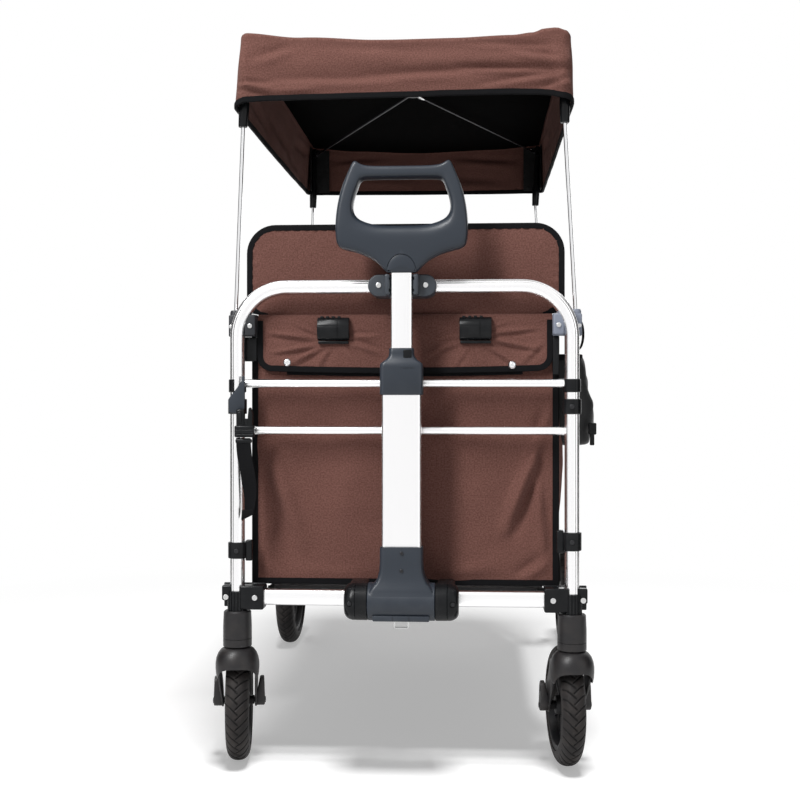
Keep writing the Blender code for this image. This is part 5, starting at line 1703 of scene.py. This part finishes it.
def makeSidePanel(label):
    side, low, high = sides[label], sidePanel["low"], sidePanel["high"]
    start, span = sidePanel["start"], sidePanel["stop"] - sidePanel["start"]
    columns, count = 190, 90
    rows = []
    for step in range(count + 1):
        share, row = step / count, []
        for column in range(columns + 1):
            depth, z = start + span * column / columns, low + (high - low) * share
            near = min(1.0, column / 5, (columns - column) / 5) * min(1.0, share * 12, (1 - share) * 12)
            lift = creases(depth, z, sidePanel["folds"]) + ripple(depth, z, 0.13, 0.0036, 7.0 + side)
            lift += ripple(depth, z, 0.035, 0.0008, side)
            lift += sidePanel["bulge"] * exp(-((depth - start - 0.045) / 0.035) ** 2) * sin(pi * share)
            z -= 0.004 * sin(pi * column / columns) * share
            row.append(Vector((side * (sidePanel["x"] + lift * near * 0.8), frontY + depth, z)))
        rows.append(row)
    cloth = thicken(surface(rows, flat=[[(place.y, place.z) for place in row] for row in rows]), 0.0014)
    settle(cloth, "side_cloth_" + label, "brownCanvas", ["side_panel_" + label], 60)
    edge = rows[-1] + [row[-1] for row in reversed(rows[:-1])] + rows[0][-2::-1] + [row[0] for row
        in rows[1:-1]]
    middle = (side * sidePanel["x"], middleY, (low + high) / 2)
    binding = bind(
        "side_binding_" + label, "front_frame", edge, middle, sidePanel["binding"], 0.0036, (1, 0, 0), True
    )
    seams = []
    for row in (rows[12], rows[-12]):
        path = [place + Vector((side * 0.001, 0, 0)) for place in row]
        ups, outs = [Vector((0, 0, 1))] * len(path), [Vector((side, 0, 0))] * len(path)
        seams.append(tape(path, ups, outs, 0.003, 0.0012))
    stitched = settle(together(*seams), "side_seams_" + label, "brownCanvas", angle=40)
    for piece in (cloth, binding, stitched):
        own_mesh(piece)


for sideName in sides:
    makeSidePanel(sideName)
print("side panels made")


# the canopy: one sheet over roof and skirts, a near black sheet under the roof that paints its shade, hem,
# corner pockets, poles and crossed rods

canopy = {
    "half": 0.2505, "depth": 0.022, "corner": 0.012, "roll": 0.006, "hemFlare": 0.006, "skew": -0.0028,
    "keep": 0.363,
    "frontTop": [
        (-0.2535, 1.1134), (-0.244, 1.1143), (-0.156, 1.1061), (-0.0456, 1.1004), (0.0761, 1.1014),
        (0.1628, 1.1043), (0.194, 1.1079), (0.2112, 1.1137), (0.2289, 1.115), (0.2426, 1.1111),
        (0.2535, 1.1065),
    ],
    "rearTop": [(-0.2535, 1.1088), (-0.15, 1.1015), (0.0, 1.0962), (0.15, 1.1015), (0.2535, 1.1088)],
    "frontHem": [
        (-0.2505, 1.001), (-0.246, 1.005), (-0.238, 1.0081), (-0.2, 1.0092), (-0.13, 1.0103),
        (-0.06, 1.0113), (0.0178, 1.0119), (0.07, 1.0133), (0.16, 1.014), (0.1991, 1.0131), (0.22, 1.0117),
        (0.242, 1.0078), (0.247, 1.006), (0.2505, 1.0015),
    ],
    "rearHem": [(-0.2565, 1.007), (-0.15, 1.0058), (0.0, 1.005), (0.15, 1.0048), (0.2565, 1.006)],
    "binding": 0.007,
    "bands": [  # height of the front skirt's long waves: (Z, at the left, in the middle, at the right)
        (1.112, 0.0, -0.002, -0.0032), (1.09, 0.001, -0.0018, -0.0026), (1.066, 0.0022, 0.0034, 0.003),
        (1.047, 0.0014, -0.0012, -0.0016), (1.034, 0.0004, 0.0014, 0.002), (1.018, 0.0008, 0.0004, -0.0006),
        (1.008, 0.0, 0.0, 0.0),
    ],
    "frontFolds": [
        (90, 1096, 210, 1088, -3.4, 5), (165, 1083, 232, 1070, -4.4, 5.5), (90, 1056, 238, 1052, -4, 4.5),
        (-60, 1045, 150, 1056, -2.6, 6), (120, 1030, 235, 1047, -3.4, 5), (206, 1022, 248, 1038, -3.8, 4.5),
        (-225, 1076, -170, 1096, -3.4, 7), (-252, 1038, -195, 1036, -2, 3.5),
        (-242, 1033, -200, 1023, 5, 4), (-200, 1023, -130, 1024, 2.4, 4), (-200, 1042, -20, 1040, -2.8, 6),
        (-130, 1098, 0, 1088, -2, 9), (-245, 1090, -238, 1030, 2.6, 7), (230, 1090, 244, 1030, 2.6, 8),
    ],
    "rearFolds": [
        (-200, 1080, -90, 1088, 4, 8), (60, 1086, 190, 1076, 4, 8), (-160, 1050, -20, 1040, 3, 10),
        (30, 1044, 170, 1033, 3, 10),
    ],
    "sideFolds": [
        (-360, 1085, -200, 1070, 4, 9), (360, 1085, 180, 1068, 4, 9), (-100, 1050, 120, 1045, 3.6, 12),
        (-300, 1040, -120, 1030, 2.8, 8), (120, 1030, 330, 1025, 2.8, 9),
    ],
}


def canopyOutline(inset=0.0):  # places and ways outwards round the canopy, seen from above
    halfY = (rearY - frontY) / 2 - canopy["depth"]
    half, reach, radius = canopy["half"] - inset, halfY - inset, max(0.002, canopy["corner"] - inset)
    outline = []
    for turn, (sx, sy) in enumerate(((1, 1), (-1, 1), (-1, -1), (1, -1))):
        for step in range(9):
            angle = radians(90 * (turn + step / 8))
            way = Vector((cos(angle), sin(angle), 0))
            centre = Vector((sx * (half - radius), middleY + sy * (reach - radius), 0))
            outline.append((centre + way * radius, way))
        start, way = outline[-1]
        long, short = Vector((0, -2 * sy * (reach - radius), 0)), Vector((-2 * sx * (half - radius), 0, 0))
        run, count = (long, 110) if turn % 2 else (short, 76)
        outline += [(start + run * i / count, way) for i in range(1, count)]
    return outline


def canopyTop(x, y):
    near = (y - (frontY + canopy["depth"])) / 0.07
    front, rear = lineAt(canopy["frontTop"], x), lineAt(canopy["rearTop"], x)
    share = exp(-max(0.0, near) ** 2)
    sag = 0.004 * sin(pi * min(1.0, max(0.0, (y - frontY) / (rearY - frontY)))) * (1
        - (x / canopy["half"]) ** 2)
    return rear + (front - rear) * share - sag + ripple(x, y, 0.16, 0.0022, 2.0)


def canopyHem(x, y):
    share = min(1.0, max(0.0, (y - frontY) / (rearY - frontY)))
    front, rear = lineAt(canopy["frontHem"], x), lineAt(canopy["rearHem"], x)
    droop = -0.0035 * sin(pi * share) if abs(x) > canopy["half"] * 0.9 else 0.0
    return front + (rear - front) * share + droop


def skirtLift(place, way, z):
    if way.y < -0.7:
        share = min(1.0, max(-1.0, place.x / canopy["half"]))
        waves = [(height, middle + share * (right - middle) if share > 0 else middle - share
                  * (left - middle))
                 for height, left, middle, right in reversed(canopy["bands"])]
        return lineAt(waves, z) + creases(place.x, z, canopy["frontFolds"], 1.3) + ripple(place.x, z, 0.05,
            0.0016, 4.0)
    if way.y > 0.7:
        return creases(place.x, z, canopy["rearFolds"], 1.4) + ripple(place.x, z, 0.06, 0.003, 6.0)
    return creases(place.y - middleY, z, canopy["sideFolds"], 1.5) + ripple(place.y, z, 0.07, 0.0036,
        8.0 + place.x)


def roofRing(share, drop=0.0):
    ring = []
    for place, _ in canopyOutline(canopy["roll"]):
        x, y = place.x * share, middleY + (place.y - middleY) * share
        ring.append(Vector((x, y, canopyTop(x, y) - drop)))
    return ring


def closedMiddle(roof):  # fills the small ring that a roof's net leaves open in its middle
    startEdit(roof)
    pick(roof, lambda at, along: hypot(at.x, at.y - middleY) < 0.003, "EDGE")
    bpy.ops.mesh.edge_face_add()
    endEdit()
    return roof


def makeCanopyCloth():
    shares = [0.004, 0.05, 0.15, 0.28, 0.4, 0.52, 0.63, 0.73, 0.82, 0.89, 0.95, 1.0]
    rings = [roofRing(share) for share in shares]
    roll = canopy["roll"]
    outline = canopyOutline()
    for angle in (25, 50, 72, 90):
        out, down = sin(radians(angle)), 1 - cos(radians(angle))
        inner = canopyOutline(roll * (1 - out))
        rings.append([Vector((p.x, p.y, canopyTop(p.x, p.y) - roll * down)) for p, _ in inner])
    drops, rolled = 34, len(rings)
    for step in range(1, drops + 1):
        ring, share = [], step / drops
        for place, way in outline:
            top = canopyTop(place.x, place.y) - roll
            z = top + (canopyHem(place.x, place.y) - top) * share
            lift = skirtLift(place, way, z) * min(1.0, share * 5) * min(1.0, (1 - share) * 5 + 0.25)
            out = canopy["hemFlare"] * share + lift * 0.85
            ring.append(Vector((place.x + way.x * out + canopy["skew"] * share, place.y + way.y * out, z)))
        rings.append(ring)
    around = lengths([place for place, _ in outline], closed=True)
    flatRows = [[(p.x, p.y) for p in ring + ring[:1]] for ring in rings[:rolled]]
    flatRows += [[(u, ring[0].z) for u in around] for ring in rings[rolled:]]
    cloth, hem = thicken(closedMiddle(surface(rings, roundColumns=True, flat=flatRows)), 0.0013), rings[-1]
    settle(cloth, "canopy_cloth", "brownCanvas", ["canopy_fabric"], 60)
    ways = [way for _, way in outline]
    binding = tape(hem, [Vector((0, 0, 1))] * len(hem), ways, canopy["binding"], 0.004, closed=True)
    settle(binding, "canopy_hem", "blackTape", angle=40)
    # painted shade: a near black sheet just under the roof
    under = surface([roofRing(share, 0.0026) for share in shares], roundColumns=True)
    shadeSheet = thicken(closedMiddle(under), 0.0008)
    settle(shadeSheet, "canopy_painted_shade_sheet", "paintedShadeBlack", angle=60)
    return [cloth, binding, shadeSheet]


def makeCornerPockets():
    pockets, rivets = [], []
    for sx in (-1, 1):
        for sy in (-1, 1):
            reach = (rearY - frontY) / 2 - canopy["depth"]
            corner = Vector((sx * (canopy["half"] - 0.0022), middleY + sy * (reach - 0.0022), 0))
            inwards = ((0.036, 0), (0.01, 0), (0.004, 0.0008), (0.0008, 0.004), (0, 0.01), (0, 0.036))
            path = [corner - Vector((sx * a, sy * b, 0)) for a, b in inwards]
            rows = []
            for step in range(9):
                row = []
                for place in path:
                    top, low = canopyTop(place.x, place.y) - 0.006, canopyHem(place.x, place.y) + 0.0035
                    row.append(Vector((place.x, place.y, low + (top - low) * step / 8)))
                rows.append(row)
            pockets.append(thicken(surface(rows), 0.001))
            at = corner + Vector((-sx * 0.02, -sy * 0.0006, 1.1))
            rivets.append(bar(at, at + Vector((0, -sy * 0.0014, 0)), 0.0026, 18, 0.0005))
    settle(together(*pockets), "canopy_corner_pockets", "blackNylon", angle=60)
    settle(together(*rivets), "canopy_rivets", "chrome")
    return [pockets[0], rivets[0]]


crossRods = {"z": 1.085, "radius": 0.0018, "sleeve": 0.0032, "keep": 0.343}


def makeCrossRods():
    low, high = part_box("canopy_cross_frame")
    middle = Vector((0, frontY + 0.29, crossRods["z"]))
    hub = mirrored([(0.0, -0.005), (0.01, -0.005), (0.012, -0.003)])
    parts, sleeves = [lathe(hub, middle, "Z", 32)], []
    for x in (low.x, high.x):
        for y in (low.y, high.y):
            corner = Vector((x, y, crossRods["z"]))
            parts.append(bar(middle, corner, crossRods["radius"], 14))
            along = (corner - middle).normalized()
            if (x > 0) == (y > middle.y):  # on one of the two rods
                start, stop = middle + along * 0.01, middle + along * 0.04
                sleeves.append(bar(start, stop, crossRods["sleeve"], 20, 0.0006))
            parts.append(bar(corner - along * 0.02, corner, 0.0034, 16, 0.0006))
    rods = together(*parts)
    settle(rods, "canopy_cross_rods", "burnished", ["canopy_cross_frame"])
    bright = settle(together(*sleeves), "canopy_rod_sleeves", "chrome")
    return [rods, bright]


pole = {
    "radius": 0.003, "foot": (0.2568, 0.022), "topDepth": 0.04,
    "top": {"front": {"left": 0.2495, "right": 0.2425}, "rear": {"left": 0.246, "right": 0.237}},
    "socket": [
        (0.0036, 0.974), (0.0064, 0.974), (0.0071, 0.9755), (0.008, 1.002), (0.0078, 1.009), (0.0056, 1.03),
        (0.005, 1.098), (0.0036, 1.1015),
    ],
    "socketTop": 0.242,
}


def makePole(end, label):
    side, body = sides[label], ends[end][2]
    footX, footDepth = pole["foot"]
    topX, topDepth = pole["top"][end][label], pole["topDepth"]
    foot = Vector((side * footX, behind(end, footDepth), 0))
    top = Vector((side * topX, behind(end, topDepth), 0))
    line = [foot + Vector((0, 0, z)) for z in (0.6553, 0.684, 0.69)]
    line += [foot + (top - foot) * t + Vector((0, 0, 0.69 + 0.28 * t)) for t in (0.05, 0.5, 0.95, 1.0)]
    line.append(top + Vector((0, 0, 1.0)))
    settle(wire(line, pole["radius"], sides=5), f"canopy_pole_{end}_{label}_rod", "chromeZ",
           [f"canopy_pole_{end}_{label}"], body=body)
    socket = lathe(pole["socket"], top, "Z", 36)
    low, high = pole["socket"][0][1], pole["socket"][-1][1]
    for vertex in socket.data.vertices:  # the socket leans in with its pole
        vertex.co.x += side * (pole["socketTop"] - topX) * (vertex.co.z - low) / (high - low)
    settle(socket, f"canopy_socket_{end}_{label}", "black", body=body)


roofPieces = makeCanopyCloth() + makeCornerPockets() + makeCrossRods()
for roofPiece in roofPieces:
    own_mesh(roofPiece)
for endName in ends:
    for sideName in sides:
        makePole(endName, sideName)
print("canopy made")


# the strap that holds the folded wagon, on the left leg

strap = {
    "top": [(-0.241, 0.5838), (-0.236, 0.5835), (-0.236, 0.542), (-0.239, 0.5365), (-0.2488, 0.535),
            (-0.2535, 0.535), (-0.26, 0.5362), (-0.26, 0.5565), (-0.2572, 0.5605), (-0.2425, 0.579)],
    "webbing": [  # left edge X, right edge X, Z, depth before the legs
        (-0.2478, -0.2262, 0.498, 0.0225), (-0.247, -0.225, 0.482, 0.0232), (-0.245, -0.2232, 0.468, 0.025),
        (-0.241, -0.2195, 0.45, 0.0262), (-0.2388, -0.2172, 0.433, 0.0252), (-0.2366, -0.2168, 0.42, 0.0235),
        (-0.2348, -0.2185, 0.404, 0.0222), (-0.235, -0.2205, 0.392, 0.0226),
        (-0.2372, -0.2216, 0.3845, 0.0232),
    ],
}


def makeFoldStrap():
    flapFace = plate(strap["top"], "Y", frontY - 0.0175, frontY - 0.0125, 0.0012, 3, 40)
    tail = block((-0.2412, frontY - 0.0165, 0.55), (-0.2365, frontY - 0.012, 0.59), 0.001)
    settle(together(flapFace, tail), "strap_buckle_top", "charcoal", ["fold_strap"])
    front, back = frontY - 0.0262, frontY - 0.015
    bodyShell = block((-0.25, front, 0.499), (-0.2205, back, 0.5165), 0.0022, 3)
    for level in (0.504, 0.5105):
        carve(bodyShell, bar((-0.26, front - 0.0004, level), (-0.21, front - 0.0004, level), 0.0012, 12))
    left = block((-0.2475, front + 0.001, 0.512), (-0.235, back, 0.541), 0.0026, 3)
    prong = [(-0.23, 0.512), (-0.223, 0.512), (-0.2226, 0.533)]
    prong += [(-0.2262, 0.544), (-0.2288, 0.542), (-0.23, 0.53)]
    right = plate(prong, "Y", front + 0.001, back, 0.0018, 3, 40)
    middle = block((-0.238, front + 0.003, 0.512), (-0.229, back - 0.002, 0.527), 0.0015, 2)
    latch = block((-0.2445, front - 0.0006, 0.52), (-0.2385, front + 0.003, 0.537), 0.0012, 2)
    keeper = block((-0.2488, front + 0.002, 0.4905), (-0.2248, back - 0.001, 0.4965), 0.0018, 3)
    settle(together(bodyShell, left, right, middle, latch, keeper), "strap_buckle_body", "black")
    lefts = smoothLine([(a, frontY - depth, z) for a, _, z, depth in strap["webbing"]], 8)
    rights = [(b, frontY - depth + 0.004 * (0.45 - z), z) for _, b, z, depth in strap["webbing"]]
    rights = smoothLine(rights, 8)
    arches = [Vector((0, 0.0009 * sin(pi * i / 14), 0)) for i in range(15)]
    rows = [[a.lerp(b, i / 14) + arch for i, arch in enumerate(arches)] for a, b in zip(lefts, rights)]
    web = thicken(surface(rows), 0.0016)
    settle(web, "strap_webbing", "blackTape", angle=60)
    fold = plate([(-0.2398, 0.3752), (-0.2205, 0.385), (-0.2212, 0.3925), (-0.2388, 0.3912)], "Y",
                 frontY - 0.0252, frontY - 0.0205, 0.0014, 3, 40)
    settle(fold, "strap_folded_end", "blackTape")


# the pouch on the right side panel, a bag that sags from its strap

pouch = {
    "levels": [  # height, reach from the panel, start and stop depth behind the front legs
        (0.485, 0.272, 0.07, 0.135), (0.4865, 0.28, 0.058, 0.15), (0.4905, 0.2842, 0.052, 0.158),
        (0.499, 0.2838, 0.047, 0.163), (0.506, 0.2846, 0.045, 0.165), (0.516, 0.2885, 0.043, 0.167),
        (0.528, 0.2893, 0.041, 0.169), (0.542, 0.2905, 0.04, 0.17), (0.551, 0.2892, 0.04, 0.17),
        (0.56, 0.284, 0.041, 0.169), (0.568, 0.2815, 0.042, 0.168), (0.579, 0.2808, 0.043, 0.167),
        (0.59, 0.2794, 0.044, 0.166), (0.602, 0.2778, 0.045, 0.165), (0.614, 0.2755, 0.046, 0.164),
        (0.623, 0.272, 0.047, 0.163),
    ],
    "wall": 0.2338,
}


def pouchRow(z, reach, start, stop, inset=0.0):
    wall = pouch["wall"] + inset
    middle, half, out = frontY + (start + stop) / 2, (stop - start) / 2 - inset, reach - inset - wall
    row = []
    for step in range(41):
        angle = pi * step / 40
        side, front = cos(angle), sin(angle)
        x = wall + out * abs(front) ** 0.42
        y = middle - half * copysign(abs(side) ** 0.55, side)
        x += ripple(y, z, 0.022, 0.0042, 1.0) * front
        row.append(Vector((x, y, z)))
    for step in range(1, 12):
        row.append(Vector((wall, middle + half * (1 - 2 * step / 12), z)))
    return row


def makePouch():
    heights = smoothLine([(z, reach, start) for z, reach, start, _ in pouch["levels"]], 3)
    stops = smoothLine([(z, stop, 0) for z, _, _, stop in pouch["levels"]], 3)
    outer = [pouchRow(h[0], h[1], h[2], s[1]) for h, s in zip(heights, stops)]
    inner = [pouchRow(h[0], h[1], h[2], s[1], 0.0022) for h, s in zip(heights, stops)][2:]
    for place in inner[0]:
        place.z += 0.001
    bag = surface(outer + list(reversed(inner)), roundColumns=True, caps=True)
    settle(bag, "pouch_bag", "blackNylon", ["side_pouch"], 60)
    rim = outer[-1]
    inwards = [Vector((0, 0, -1))] * len(rim)
    centre = Vector((0.255, frontY + 0.105, rim[0].z))
    ways = [(place - centre).normalized() for place in rim]
    settle(tape(rim, inwards, ways, 0.008, 0.0048, closed=True), "pouch_rim", "blackTape", angle=40)
    line = smoothLine([(0.2335, 0.679), (0.259, 0.683), (0.269, 0.67), (0.2712, 0.652), (0.268, 0.636),
                       (0.26, 0.626), (0.266, 0.615)], 7)
    rows = [[Vector((x, frontY + 0.044 + 0.02 * i / 8, z)) for i in range(9)] for x, z in line]
    strapPiece = thicken(surface(rows), 0.0022)
    settle(strapPiece, "pouch_hanger", "blackTape", angle=60)
    clipParts = [
        block((0.278, frontY + 0.0385, 0.502), (0.29, frontY + 0.0465, 0.52), 0.002),
        block((0.28, frontY + 0.038, 0.486), (0.2868, frontY + 0.043, 0.503), 0.0016),
    ]
    settle(together(*clipParts), "pouch_buckle", "black")


makeFoldStrap()
makePouch()
print("strap and pouch made")
gatherScrews()
